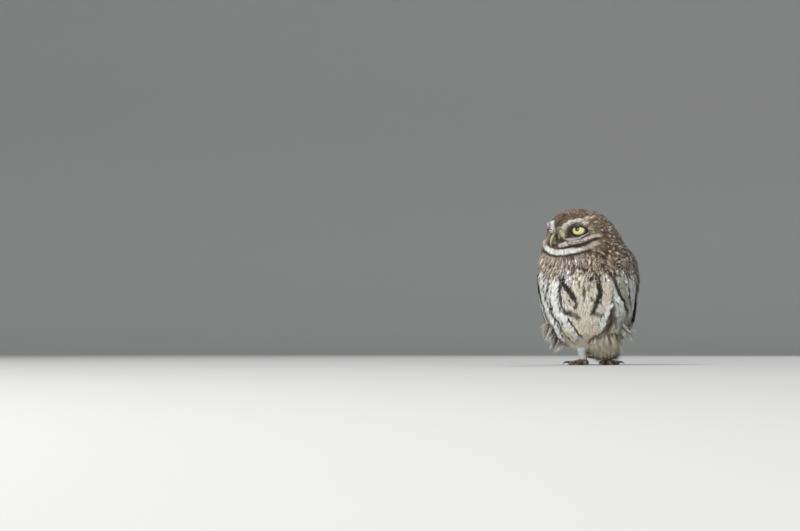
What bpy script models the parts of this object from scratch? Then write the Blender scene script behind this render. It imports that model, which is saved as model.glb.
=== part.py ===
"""Little owl, life size, standing on both feet with its head turned to its right.

Metres, +Z up. The owl faces -Y and its left side is +X. Sizes below are in millimetres.
"""

import math

import bmesh
import bpy
import numpy as np
from mathutils import Matrix, Vector

MM = 0.001
GAP = 0.3 * MM  # left between touching pieces
FEATHER_GAP = 0.27 * MM  # left where a feather that would cross the torso is trimmed
UP = Vector((0, 0, 1))

# Head
HEAD_TURN = math.radians(-42)  # about +Z, towards the owl's right
HEAD_AXIS = Vector((0, 1, 0)) * MM  # foot of the upright that the head turns about
HEAD_FORWARD = 9.0  # middle of the head ahead of that axis
FACE_LEVEL = 144.0  # height of the pupils
EYE_SPREAD = 19.5  # eyeball's centre to the head's middle plane
EYE_AHEAD = 18.0  # eyeball's centre ahead of the head's middle
EYE_RADIUS = 9.6
GAZE_OUT = math.radians(25)
LID_HALF_WIDTH = 7.4
LID_TOP = 4.7
LID_BOTTOM = 5.2
LID_THICK = 1.0
LID_OUT = 0.75  # middle of the rim of the lids, out from the eyeball
LID_TURNS = 20
LID_AROUND = 6
# Rows: outward from the eyeball, how much wider the opening is there
LID_FLARE = ((-3.0, 0.85), (0.0, 1.0), (2.5, 1.1), (9.0, 1.35))

# Relief of the face, by distance from its middle plane and height over the pupils.
# Ridges and furrows: how far ahead, where they start and end, width
BROW = (3.4, (7.0, 4.5), (27.0, 12.0), 3.6)
LORE = (2.2, (6.5, 6.0), (5.5, -6.0), 3.4)
CHEEK = (2.0, (8.0, -12.0), (27.0, -9.0), 5.0)
CHIN_FURROW = (-2.6, (0.0, -21.0), (34.0, -12.0), 2.6)
SOCKET_DEPTH = 6.0
SOCKET_MIDDLE = (24.0, 0.5)
SOCKET_WIDTH = 12.0
SOCKET_LOWER = 1.15  # a socket is this much wider than high
BRIDGE_HEIGHT = 2.2
BRIDGE_WIDTH = 5.5
BRIDGE_LEVEL = 2.0
BRIDGE_DOWN = 9.0
BRIDGE_UP = 8.0
DISC_EDGE = 1.2
DISC_SIDE = 17.0
DISC_RADIUS = 19.5
DISC_EDGE_WIDTH = 2.6
DISC_TOP = 9.0
FACE_SIDES = (0.15, 0.6)  # how squarely the surface faces forward where the relief starts and is whole
FACE_SHARES = (0.45, 0.85)  # the same by how far that height turns with the head
FACE_TOP = 168.0
FACE_FADE = 10.0

# Rows: height, half width, half depth, squareness, centre to the back, shift ahead, share of the head's turn
FORM = (
    (17.5, 8.0, 9.0, 2.0, 11.0, 0.0, 0.0),
    (19.0, 20.0, 19.0, 2.0, 11.5, 0.0, 0.0),
    (23.0, 30.0, 28.0, 2.1, 11.5, 0.0, 0.0),
    (31.0, 38.0, 36.0, 2.15, 8.5, 0.0, 0.0),
    (45.0, 44.0, 41.5, 2.2, 5.5, 0.0, 0.0),
    (60.0, 48.5, 43.8, 2.2, 3.2, 0.0, 0.0),
    (76.0, 51.5, 45.0, 2.2, 2.5, 0.0, 0.0),
    (92.0, 53.5, 45.5, 2.2, 2.0, 0.0, 0.0),
    (106.0, 53.5, 44.5, 2.2, 2.0, 0.0, 0.0),
    (117.0, 50.5, 42.5, 2.25, 1.0, 1.2, 0.12),
    (126.0, 46.0, 40.5, 2.3, 0.0, 5.0, 0.5),
    (134.0, 42.5, 38.5, 2.4, 0.0, 8.0, 0.88),
    (141.0, 40.5, 37.0, 2.4, 0.0, 9.0, 1.0),
    (147.0, 39.0, 35.8, 2.4, 0.0, 9.0, 1.0),
    (153.0, 36.2, 33.3, 2.3, 0.0, 8.7, 1.0),
    (158.0, 32.6, 30.0, 2.15, 0.0, 7.8, 1.0),
    (162.5, 27.6, 25.7, 2.05, 0.0, 6.4, 1.0),
    (166.0, 21.6, 20.2, 2.0, 0.0, 4.6, 1.0),
    (168.8, 15.0, 14.0, 2.0, 0.0, 3.0, 1.0),
    (170.4, 7.5, 7.0, 2.0, 0.0, 2.2, 1.0),
    (171.0, 1.0, 1.0, 2.0, 0.0, 2.0, 1.0),
)
SIDES_ROUND = {"torso": 32, "neck": 34, "head": 40}
FACE_GATHER = 0.38  # how much closer together the head's points are across the face
# Heights of the rings of the torso, and from where they are evenly spaced
BODY_LEVELS = (17.5, 18.7, 21.5, 26.0, 32.0, 39.0, 47.0, 56.0, 66.0, 78.0, 92.0)
HEAD_FROM = 106.0
HEAD_STEP = 3.0
NECK_LOW = 113.0  # level cut between torso and neck
NECK_HIGH = 125.5  # height at the head's axis of the tilted cut between neck and head
NECK_TILT = math.radians(9)  # lower under the face than at the nape

# Wing. Rows: height, half width, half depth, centre to the back
WING_FORM = (
    (18.0, 37.0, 54.0, 6.0),
    (33.0, 44.0, 50.0, 5.0),
    (45.0, 48.0, 47.5, 4.5),
    (60.0, 50.0, 45.6, 3.5),
    (76.0, 52.0, 45.7, 2.6),
    (92.0, 53.6, 45.8, 2.0),
    (106.0, 53.6, 44.8, 2.0),
    (113.0, 52.0, 43.6, 1.5),
)
# Rows: height, front edge and back edge in degrees round from the owl's side, thickness inside the form
WING_OUTLINE = (
    (20.0, 64.0, 70.0, 0.6),
    (25.0, 56.0, 74.0, 0.9),
    (33.0, 42.0, 79.0, 1.1),
    (42.0, 24.0, 83.0, 1.8),
    (52.0, 6.0, 85.5, 3.6),
    (65.0, -6.0, 86.0, 4.8),
    (80.0, -10.0, 85.5, 5.2),
    (95.0, -10.0, 83.0, 5.2),
    (105.0, -6.0, 76.0, 4.6),
    (109.5, 4.0, 62.0, 3.6),
    (111.3, 20.0, 42.0, 2.4),
)
WING_SQUARE = 2.2
WING_PROUD = 0.6
WING_EDGE = 0.8
WING_RIM = 0.3  # share of its height that the wing keeps at its edges
WING_ACROSS = 9
WING_ALONG = 9
WING_CORE_LOW = 0.33  # the flesh of the wing ends here, and only feathers reach further down
# Feathers of the folded wing: count, across from front to back, root, tip at the front, tip at the back,
# width, lift at root and tip
WING_TIERS = {
    "primaries": (7, 0.06, 0.86, 0.50, 0.16, 0.0, 9.5, -1.0, 0.3),
    "secondaries": (8, 0.10, 0.95, 0.64, 0.27, 0.33, 11.5, -0.7, 1.6),
    "greater_coverts": (8, 0.07, 0.94, 0.78, 0.47, 0.53, 11.5, -0.3, 2.0),
    "median_coverts": (7, 0.08, 0.92, 0.89, 0.65, 0.70, 12.5, -0.1, 2.4),
    "scapulars": (4, 0.72, 0.95, 0.95, 0.60, 0.50, 12.0, 0.0, 3.2),
}
VANE_THICK = 0.6
VANE_TIP_THICK = 0.5
VANE_TILT = -0.7  # a feather's front edge lies over the one before it
VANE_CAMBER = 0.4
VANE_TIP_UNEVEN = 0.008
VANE_WIDTH_UNEVEN = 0.04
# Rows of a vane: share of its length, share of its width
VANE_SHAPE = ((0.0, 0.6), (0.5, 1.0), (0.88, 0.82), (1.0, 0.32))

# Tail, from its root inside the rump to its tip just above the floor
TAIL_ROOT = Vector((2.0, 33.0, 51.0)) * MM
TAIL_TIP = Vector((10.0, 61.0, 3.2)) * MM
TAIL_HALF_ROOT = 9.0
TAIL_HALF_TIP = 18.0
TAIL_THICK_ROOT = 6.2
TAIL_CORE_END_THICK = 5.4
TAIL_ARCH = 3.0
TAIL_THIN = 0.6  # share of its thickness that the fleshy root loses at its sides
TAIL_CORE = 0.56  # the fleshy root's share of the tail's length
TAIL_VANE_FROM = 0.44
TAIL_ACROSS = 9
TAIL_ALONG = 5
TAIL_PAIRS = 6
TAIL_VANE_WIDTH = 7.4
TAIL_VANE_TILT = -0.25  # each feather's inner edge stands higher
TAIL_NARROW = 0.55  # share of the fan's width where the feathers start
TAIL_INNER = 3.2  # a middle feather's centre from the tail's middle line, at the tip
TAIL_SPREAD = 2.3  # each next pair stands this much further out
TAIL_LEVEL = 0.92  # and this much further forward
TAIL_SHORTER = 0.9

# Bill. Rows: ahead of the head's middle, height, half width, half height
UPPER_BILL = (
    (27.0, 136.0, 4.3, 4.2),
    (33.5, 137.6, 4.2, 4.0),
    (37.6, 136.8, 3.5, 3.5),
    (40.6, 134.2, 2.6, 2.7),
    (42.4, 130.8, 1.5, 1.7),
    (42.8, 127.9, 0.8, 0.9),
    (42.5, 126.0, 0.3, 0.35),
)
LOWER_BILL = (
    (27.0, 131.3, 3.6, 2.3),
    (33.5, 131.4, 3.2, 2.2),
    (37.0, 130.9, 2.4, 1.7),
    (39.6, 129.8, 1.3, 1.0),
    (40.6, 129.2, 0.5, 0.4),
)
BILL_SIDES = 10
NOSTRIL_RADIUS = 0.8
NOSTRIL_AHEAD = 37.4
NOSTRIL_LEVEL = 138.3
NOSTRIL_SPREAD = 2.9

# Legs and feet
ANKLE = {"right": (-6.0, -2.0), "left": (19.0, 3.0)}
HIP = {"right": (-13.0, 5.0), "left": (19.0, 8.0)}
ANKLE_LEVEL = 6.5
HIP_LEVEL = 38.0
# Radii from the ankle up: the left leg's feathers are fluffed out
LEG_RADII = {"right": (5.0, 4.7, 5.2, 6.4, 8.0), "left": (7.0, 9.0, 10.5, 11.5, 12.0)}
LEG_DEEPER = 1.1
LEG_BEND = 1.6
LEG_SIDES = 14
PAD_RADIUS = 6.4
PAD_LEVEL = 2.9
PAD_HALF_HEIGHT = 3.9
TOE_ROOT_RADIUS = 2.9
TOE_END_RADIUS = 2.2
TOE_LEVEL = 2.15
TOE_RISE = 1.2  # a toe's root stands this much higher
TOE_SIDES = 7
# Rows: share of a toe's length, radius over the plain one
TOE_SHAPE = ((0.0, 1.1), (0.35, 1.06), (0.5, 0.9), (0.68, 1.06), (0.8, 0.92), (0.93, 0.98), (1.0, 0.6))
TOE_START = 2.0  # a toe's first ring, from the middle of the pad
# Name, degrees round from straight ahead towards the owl's left, length
TOES = {
    "right": (("inner", 19, 18.0), ("middle", -12, 20.5), ("outer", -52, 16.0), ("hind", 168, 11.5)),
    "left": (("inner", -12, 18.0), ("middle", 19, 20.5), ("outer", 133, 15.0), ("hind", -172, 11.5)),
}
# Rows: beyond the toe's end, height, radius
CLAW = ((-2.6, 2.5, 1.15), (0.8, 3.2, 1.1), (3.6, 3.1, 0.85), (6.0, 2.2, 0.55), (7.6, 0.9, 0.2))
CLAW_SIDES = 7
SMOOTH_UNDER = math.radians(40)

COLOURS = {
    "brown_plumage": ((0.165, 0.115, 0.08), 0.9),
    "pale_plumage": ((0.55, 0.48, 0.38), 0.9),
    "iris": ((0.78, 0.74, 0.10), 0.1),
    "bill": ((0.52, 0.53, 0.25), 0.45),
    "foot": ((0.36, 0.31, 0.25), 0.8),
    "claw": ((0.04, 0.035, 0.03), 0.4),
}


class Through:
    """A smooth line through rows of numbers, by the first of each row, that never overshoots them."""

    def __init__(self, rows):
        table = np.array(rows, float)
        self.at_row, self.values = table[:, 0], table[:, 1:]
        self.steps = np.diff(self.at_row)[:, None]
        slopes = np.diff(self.values, axis=0) / self.steps
        self.tangents = np.zeros_like(self.values)
        self.tangents[0], self.tangents[-1] = slopes[0], slopes[-1]
        before, after = slopes[:-1], slopes[1:]
        both = before * after
        total = np.where(both > 0, before + after, 1.0)
        self.tangents[1:-1] = np.where(both > 0, 2 * both / total, 0.0)

    def __call__(self, where):
        row = int(np.clip(np.searchsorted(self.at_row, where) - 1, 0, len(self.steps) - 1))
        step = self.steps[row, 0]
        t = float(np.clip((where - self.at_row[row]) / step, 0, 1))
        return (
            (2 * t**3 - 3 * t**2 + 1) * self.values[row]
            + (t**3 - 2 * t**2 + t) * step * self.tangents[row]
            + (3 * t**2 - 2 * t**3) * self.values[row + 1]
            + (t**3 - t**2) * step * self.tangents[row + 1]
        )


form_at = Through(FORM)
wing_form_at = Through(WING_FORM)
wing_outline_at = Through(WING_OUTLINE)


def facing(turn):
    return Vector((math.sin(turn), -math.cos(turn), 0))


def leftward(turn):
    return Vector((math.cos(turn), math.sin(turn), 0))


HEAD_MIDDLE = HEAD_AXIS + facing(HEAD_TURN) * HEAD_FORWARD * MM


def head_point(ahead, level, left=0.0):
    """A place in the head: millimetres ahead of its middle, above the floor, and to the owl's left."""
    across = facing(HEAD_TURN) * ahead + leftward(HEAD_TURN) * left
    return HEAD_MIDDLE + (across + UP * level) * MM


def squared(angle, power):
    """The unit superellipse: 0 is the owl's left, and a quarter turn on is its back."""
    across, along = math.cos(angle), math.sin(angle)
    reach = (abs(across) ** power + abs(along) ** power) ** (-1 / power)
    return across * reach, along * reach


def swell(away, width):
    return math.exp(-((away / width) ** 2))


def from_line(point, start, end):
    """Distance in the face's plane from a line between two places."""
    line = (end[0] - start[0], end[1] - start[1])
    length = line[0] ** 2 + line[1] ** 2
    share = ((point[0] - start[0]) * line[0] + (point[1] - start[1]) * line[1]) / length
    share = min(max(share, 0), 1)
    return math.hypot(point[0] - start[0] - share * line[0], point[1] - start[1] - share * line[1])


def ridge(place, form):
    """Height of a ridge, or depth of a furrow, at a place of the face."""
    height, start, end, width = form
    return height * swell(from_line(place, start, end), width)


def face_relief(left, level):
    """Millimetres that the face stands ahead of the plain head, at a place to the owl's left and a height."""
    side, high = abs(left), level - FACE_LEVEL
    relief = sum(ridge((side, high), form) for form in (BROW, LORE, CHEEK, CHIN_FURROW))
    in_socket = math.hypot(side - SOCKET_MIDDLE[0], (high - SOCKET_MIDDLE[1]) * SOCKET_LOWER)
    relief -= SOCKET_DEPTH * swell(in_socket, SOCKET_WIDTH)
    over = high - BRIDGE_LEVEL
    relief += BRIDGE_HEIGHT * swell(side, BRIDGE_WIDTH) * swell(over, BRIDGE_UP if over > 0 else BRIDGE_DOWN)
    if high < DISC_TOP:
        relief += DISC_EDGE * swell(math.hypot(side - DISC_SIDE, high) - DISC_RADIUS, DISC_EDGE_WIDTH)
    return relief


def share_between(value, ends):
    return min(max((value - ends[0]) / (ends[1] - ends[0]), 0), 1)


def skin_point(angle, level):
    """The outline of the plumage, at an angle round from the owl's left and a height."""
    half_width, half_depth, power, back, ahead, share = form_at(level)
    turn = HEAD_TURN * share
    across, along = squared(angle, power)
    ahead_here = -along * half_depth
    if share > FACE_SHARES[0]:
        front = share_between(-along, FACE_SIDES)
        front *= front * (3 - 2 * front)
        face_share = share_between(share, FACE_SHARES) * share_between(FACE_TOP - level, (0, FACE_FADE))
        ahead_here += face_relief(across * half_width, level) * front * face_share
    centre = HEAD_AXIS * (share > 0) + (facing(HEAD_TURN) * ahead + Vector((0, back, 0))) * MM
    outline = leftward(turn) * across * half_width + facing(turn) * ahead_here
    return centre + (outline + UP * level) * MM


def new_object(name, mesh, collection):
    obj = bpy.data.objects.new(name, mesh)
    collection.objects.link(obj)
    return obj


def loft(name, rings, collection):
    """A closed solid through rings of equal counts, with a flat cap at each end."""
    shape = bmesh.new()
    rows = [[shape.verts.new(point) for point in ring] for ring in rings]
    count = len(rows[0])
    for low, high in zip(rows, rows[1:]):
        for k in range(count):
            after = (k + 1) % count
            shape.faces.new((low[k], low[after], high[after], high[k]))
    shape.faces.new(list(reversed(rows[0])))
    shape.faces.new(rows[-1])
    return finish_shape(name, shape, collection)


def finish_shape(name, shape, collection):
    bmesh.ops.recalc_face_normals(shape, faces=shape.faces)
    bmesh.ops.triangulate(shape, faces=shape.faces)
    mesh = bpy.data.meshes.new(name)
    shape.to_mesh(mesh)
    shape.free()
    return new_object(name, mesh, collection)


def tube(name, points, radii, sides, collection, across, flatten=None):
    """A closed round bar in the plane square to across. flatten is each half height over half width."""
    rings = []
    for k, point in enumerate(points):
        ahead = points[min(k + 1, len(points) - 1)] - points[max(k - 1, 0)]
        above = across.cross(ahead).normalized()
        tall = 1 if flatten is None else flatten[k]
        rings.append(
            [
                point
                + across * radii[k] * math.cos(2 * math.pi * j / sides)
                + above * radii[k] * tall * math.sin(2 * math.pi * j / sides)
                for j in range(sides)
            ]
        )
    return loft(name, rings, collection)


def slab(name, middle, outward, outer, inner, collection):
    """A thin curved plate: a grid of places, outward directions and reach to each side, split alike."""
    rows, columns = len(middle), len(middle[0])
    shape = bmesh.new()
    sheets = []
    for reach, sign in ((outer, 1), (inner, -1)):
        sheets.append(
            [
                [shape.verts.new(middle[i][j] + outward[i][j] * reach[i][j] * sign) for j in range(columns)]
                for i in range(rows)
            ]
        )
    for i in range(rows - 1):
        for j in range(columns - 1):
            for sheet in sheets:
                corners = (sheet[i][j], sheet[i][j + 1], sheet[i + 1][j + 1], sheet[i + 1][j])
                flip = (j < columns // 2) == (i % 2 == 0)
                if flip:
                    shape.faces.new((corners[0], corners[1], corners[2]))
                    shape.faces.new((corners[0], corners[2], corners[3]))
                else:
                    shape.faces.new((corners[0], corners[1], corners[3]))
                    shape.faces.new((corners[1], corners[2], corners[3]))
    rim = [(i, 0) for i in range(rows)] + [(rows - 1, j) for j in range(1, columns)]
    rim += [(i, columns - 1) for i in range(rows - 2, -1, -1)] + [(0, j) for j in range(columns - 2, 0, -1)]
    for (i, j), (m, n) in zip(rim, rim[1:] + rim[:1]):
        shape.faces.new((sheets[0][i][j], sheets[0][m][n], sheets[1][m][n]))
        shape.faces.new((sheets[0][i][j], sheets[1][m][n], sheets[1][i][j]))
    return finish_shape(name, shape, collection)


def settle(obj):
    """Applies an object's modifiers."""
    evaluated = obj.evaluated_get(bpy.context.evaluated_depsgraph_get())
    mesh = bpy.data.meshes.new_from_object(evaluated)
    obj.modifiers.clear()
    obj.data = mesh


def room_within(group):
    """Volume inside one closed surface, given as its vertices."""
    total = 0.0
    for face in {face for vert in group for face in vert.link_faces}:
        first, *rest = [vert.co for vert in face.verts]
        total += sum(first.dot(a.cross(b)) for a, b in zip(rest, rest[1:]))
    return abs(total)


def keep_largest(obj):
    """Leaves only the closed surface with the most room in it, and drops scraps."""
    shape = bmesh.new()
    shape.from_mesh(obj.data)
    left, groups = set(shape.verts), []
    while left:
        group, edge = set(), [left.pop()]
        while edge:
            vert = edge.pop()
            group.add(vert)
            for link in vert.link_edges:
                other = link.other_vert(vert)
                if other in left:
                    left.remove(other)
                    edge.append(other)
        groups.append(group)
    groups.sort(key=room_within)
    scraps = [vert for group in groups[:-1] for vert in group]
    bmesh.ops.delete(shape, geom=scraps, context="VERTS")
    shape.to_mesh(obj.data)
    shape.free()


def combine(obj, others, operation, solver="EXACT"):
    """One Boolean of an object with all the others, which are removed after it."""
    group = bpy.data.collections.new(obj.name + "_with")
    bpy.context.scene.collection.children.link(group)
    for other in others:
        for holder in list(other.users_collection):
            holder.objects.unlink(other)
        group.objects.link(other)
    boolean = obj.modifiers.new(operation.lower(), "BOOLEAN")
    boolean.operation = operation
    boolean.operand_type = "COLLECTION"
    boolean.collection = group
    boolean.solver = solver
    settle(obj)
    for other in others:
        bpy.data.objects.remove(other)
    bpy.data.collections.remove(group)
    keep_largest(obj)


def grown(obj, collection, by=GAP):
    """A copy of an object whose faces have all moved outwards by one distance, to cut a neighbour with."""
    shape = bmesh.new()
    shape.from_mesh(obj.data)
    bmesh.ops.transform(shape, matrix=obj.matrix_world, verts=shape.verts)
    shape.normal_update()
    moves = {vert: vert.normal * by * min(vert.calc_shell_factor(), 2.0) for vert in shape.verts}
    for vert, move in moves.items():
        vert.co += move
    mesh = bpy.data.meshes.new(obj.name + "_room")
    shape.to_mesh(mesh)
    shape.free()
    cutter = new_object(obj.name + "_room", mesh, collection)
    cutter.hide_render = True
    cutter.display_type = "WIRE"
    return cutter


def cut_off(obj, place, direction):
    """Removes what lies past a plane and closes the cut with a flat face."""
    shape = bmesh.new()
    shape.from_mesh(obj.data)
    everything = shape.verts[:] + shape.edges[:] + shape.faces[:]
    cut = bmesh.ops.bisect_plane(
        shape, geom=everything, dist=1e-7, plane_co=place, plane_no=direction, clear_outer=True
    )
    rim = [item for item in cut["geom_cut"] if isinstance(item, bmesh.types.BMEdge)]
    bmesh.ops.edgeloop_fill(shape, edges=rim)
    bmesh.ops.recalc_face_normals(shape, faces=shape.faces)
    bmesh.ops.triangulate(shape, faces=shape.faces)
    shape.to_mesh(obj.data)
    shape.free()


def round_angles(name):
    """Angles round the body, closer together across the face."""
    count = SIDES_ROUND[name]
    gather = FACE_GATHER if name == "head" else 0.0
    evenly = [2 * math.pi * k / count for k in range(count)]
    return [1.5 * math.pi + step - gather * math.sin(step) for step in evenly]


def body_whole(name, collection):
    """Torso, neck and head in one, with the named part's own count of sides."""
    top = FORM[-1][0]
    high = np.linspace(HEAD_FROM, top, round((top - HEAD_FROM) / HEAD_STEP) + 1)
    levels = [*BODY_LEVELS, *high]
    rings = [[skin_point(angle, level) for angle in round_angles(name)] for level in levels]
    return loft(name, rings, collection)


def neck_planes():
    """Places and directions of the two cuts that part the body: under the neck, and under the head."""
    tilt = Matrix.Rotation(NECK_TILT, 3, leftward(HEAD_TURN))
    return (Vector((0, 0, NECK_LOW)) * MM, UP), (HEAD_AXIS + UP * NECK_HIGH * MM, tilt @ UP)


def body_part(name, collection, low=None, high=None):
    """The stretch of the whole body between two planes, half a gap short of each."""
    obj = body_whole(name, collection)
    if low:
        cut_off(obj, low[0] + low[1] * GAP / 2, -low[1])
    if high:
        cut_off(obj, high[0] - high[1] * GAP / 2, high[1])
    return obj


def eye_frame(side):
    """Centre, gaze, outward and upward directions of one eyeball. side is 1 on the owl's left."""
    gaze = facing(HEAD_TURN + side * GAZE_OUT)
    outward = leftward(HEAD_TURN + side * GAZE_OUT) * side
    return head_point(EYE_AHEAD, FACE_LEVEL, side * EYE_SPREAD), gaze, outward, UP


def lid_direction(side, turn):
    """From the eyeball's centre to one place on the rim of the lids."""
    centre, gaze, outward, above = eye_frame(side)
    wide = LID_HALF_WIDTH * math.cos(turn)
    tall = math.sin(turn) * (LID_TOP if math.sin(turn) > 0 else LID_BOTTOM)
    ahead = math.sqrt(EYE_RADIUS**2 - wide**2 - tall**2)
    return (outward * wide + above * tall + gaze * ahead) / EYE_RADIUS


def eye(side, name, collection):
    centre, gaze, _, _ = eye_frame(side)
    shape = bmesh.new()
    bmesh.ops.create_uvsphere(shape, u_segments=14, v_segments=9, radius=EYE_RADIUS * MM)
    turned = gaze.to_track_quat("Z", "Y").to_matrix().to_4x4()
    bmesh.ops.transform(shape, matrix=Matrix.Translation(centre) @ turned, verts=shape.verts)
    return finish_shape(name, shape, collection)


def lid_opening(side, collection):
    """A widening way from the eyeball out through the lids."""
    centre, gaze, _, _ = eye_frame(side)
    turns = [2 * math.pi * k / LID_TURNS for k in range(LID_TURNS)]
    rings = []
    for out, wide in LID_FLARE:
        ring = []
        for turn in turns:
            rim = lid_direction(side, turn) * EYE_RADIUS
            ahead = gaze * rim.dot(gaze)
            ring.append(centre + (ahead + (rim - ahead) * wide + gaze * out) * MM)
        rings.append(ring)
    return loft("lid_opening", rings, collection)


def lids(side, collection):
    """The raised rim of both lids, lying on the eyeball."""
    centre = eye_frame(side)[0]
    shape = bmesh.new()
    rings = []
    for k in range(LID_TURNS):
        turns = [2 * math.pi * (k + step) / LID_TURNS for step in (-1, 0, 1)]
        before, out, after = (lid_direction(side, turn) for turn in turns)
        across = (after - before).cross(out).normalized()
        middle = centre + out * (EYE_RADIUS + LID_OUT) * MM
        ring = []
        for j in range(LID_AROUND):
            turn = 2 * math.pi * j / LID_AROUND
            edge = (across * math.cos(turn) + out * math.sin(turn)) * LID_THICK * MM
            ring.append(shape.verts.new(middle + edge))
        rings.append(ring)
    for this, after in zip(rings, rings[1:] + rings[:1]):
        for j in range(LID_AROUND):
            beside = (j + 1) % LID_AROUND
            shape.faces.new((this[j], this[beside], after[beside], after[j]))
    return finish_shape("lids", shape, collection)


def bill_half(name, rows, collection):
    """One half of the bill: a bar whose rings narrow towards its tip."""
    fine = Through([(k, *row) for k, row in enumerate(rows)])
    stations = [fine(k / 2) for k in range(2, 2 * len(rows) - 1)]
    points = [head_point(ahead, level) for ahead, level, _, _ in stations]
    radii = [half_width * MM for _, _, half_width, _ in stations]
    flatten = [half_height / half_width for _, _, half_width, half_height in stations]
    return tube(name, points, radii, BILL_SIDES, collection, leftward(HEAD_TURN), flatten)


def nostrils(collection):
    holes = []
    for side in (-1, 1):
        shape = bmesh.new()
        bmesh.ops.create_icosphere(shape, subdivisions=2, radius=NOSTRIL_RADIUS * MM)
        place = head_point(NOSTRIL_AHEAD, NOSTRIL_LEVEL, side * NOSTRIL_SPREAD)
        bmesh.ops.translate(shape, verts=shape.verts, vec=place)
        holes.append(finish_shape("nostril", shape, collection))
    return holes


def wing_place(side, across, along):
    """A place on the wing, its outward direction and its thickness inwards. along runs from the tip up."""
    bottom, top = WING_OUTLINE[0][0], WING_OUTLINE[-1][0]
    level = bottom + (top - bottom) * along
    front, back, thick = wing_outline_at(level)
    angle = math.radians(front + (back - front) * across)

    def on_form(angle, level):
        half_width, half_depth, centre = wing_form_at(level)
        x, y = squared(angle, WING_SQUARE)
        return Vector((x * half_width, centre + y * half_depth, level)) * MM

    place = on_form(angle, level)
    bit = 0.01
    around = on_form(angle + bit, level) - on_form(angle - bit, level)
    rise = on_form(angle, level + bit) - on_form(angle, level - bit)
    outward = around.cross(rise).normalized()
    mirror = Vector((side, 1, 1))
    return place * mirror, outward * mirror, thick


def wing_core(side, name, collection):
    """The flesh of the folded wing, a plate with rounded edges."""
    middle, outward, outer, inner = [], [], [], []
    for i in range(WING_ALONG):
        along = WING_CORE_LOW + (1 - WING_CORE_LOW) * math.sin(math.pi / 2 * i / (WING_ALONG - 1))
        rows = [wing_place(side, j / (WING_ACROSS - 1), along) for j in range(WING_ACROSS)]
        crown = [abs(math.sin(math.pi * j / (WING_ACROSS - 1))) ** 0.5 for j in range(WING_ACROSS)]
        middle.append([row[0] for row in rows])
        outward.append([row[1] for row in rows])
        outer.append([WING_PROUD * (WING_RIM + (1 - WING_RIM) * rise) * MM for rise in crown])
        inner.append([(WING_EDGE + (row[2] - WING_EDGE) * rise) * MM for row, rise in zip(rows, crown)])
    return slab(name, middle, outward, outer, inner, collection)


def vane(name, line, half_width, tilt, collection):
    """One feather along a line of places, each with its outward and sideways directions and its lift."""
    middle, outward, reach = [], [], []
    for (place, out, aside, lift), (share, wide) in zip(line, VANE_SHAPE):
        rows = []
        for across in (-1, 0, 1):
            raised = lift + tilt * across - VANE_CAMBER * across**2 * wide
            rows.append(place + aside * across * half_width * wide * MM + out * raised * MM)
        thick = VANE_THICK + (VANE_TIP_THICK - VANE_THICK) * share
        middle.append(rows)
        outward.append([out] * 3)
        reach.append([thick / 2 * MM] * 3)
    return slab(name, middle, outward, reach, reach, collection)


def wing_vanes(side, collection):
    """The flight feathers and their coverts, tier over tier from the wing's tip to its shoulder."""
    vanes = []
    bit = 0.02
    draw = np.random.default_rng(7)
    for tier, row in WING_TIERS.items():
        count, front, back, root, tip_front, tip_back, width, lift_root, lift_tip = row
        for k in range(count):
            share = k / (count - 1)
            across = front + (back - front) * share
            tip = tip_front + (tip_back - tip_front) * share + draw.uniform(-1, 1) * VANE_TIP_UNEVEN
            line = []
            for length, _ in VANE_SHAPE:
                along = root + (tip - root) * length
                place, out, _ = wing_place(side, across, along)
                aside = wing_place(side, across + bit, along)[0] - wing_place(side, across - bit, along)[0]
                line.append((place, out, aside.normalized(), lift_root + (lift_tip - lift_root) * length))
            half = width / 2 * (1 + draw.uniform(-1, 1) * VANE_WIDTH_UNEVEN)
            vanes.append(vane(tier, line, half, VANE_TILT, collection))
    return vanes


def wing(side, name, collection, helpers):
    """The folded wing with its feathers joined to its flesh, and the room that it takes in the torso."""
    core = wing_core(side, name, collection)
    room = grown(core, helpers)
    combine(core, wing_vanes(side, helpers), "UNION", "MANIFOLD")
    return core, room


def tail_place(across, along):
    """A place on the tail's middle sheet and its backward direction. across is in millimetres."""
    down = TAIL_TIP - TAIL_ROOT
    back = Vector((0, -down.z, down.y)).normalized()
    return TAIL_ROOT + down * along + Vector((1, 0, 0)) * across * MM, back


def tail_core(name, collection):
    """The fleshy root of the tail, arched across."""
    middle, outward, reach = [], [], []
    shares = [2 * j / (TAIL_ACROSS - 1) - 1 for j in range(TAIL_ACROSS)]
    for i in range(TAIL_ALONG):
        along = TAIL_CORE * i / (TAIL_ALONG - 1)
        half = TAIL_HALF_ROOT + (TAIL_HALF_TIP - TAIL_HALF_ROOT) * along
        thick = TAIL_THICK_ROOT + (TAIL_CORE_END_THICK - TAIL_THICK_ROOT) * i / (TAIL_ALONG - 1)
        rows = [tail_place(half * share, along) for share in shares]
        arch = [TAIL_ARCH * share**2 * MM for share in shares]
        middle.append([place - back * drop for (place, back), drop in zip(rows, arch)])
        outward.append([back for _, back in rows])
        reach.append([thick / 2 * (1 - TAIL_THIN * share**2) * MM for share in shares])
    return slab(name, middle, outward, reach, reach, collection)


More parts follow.
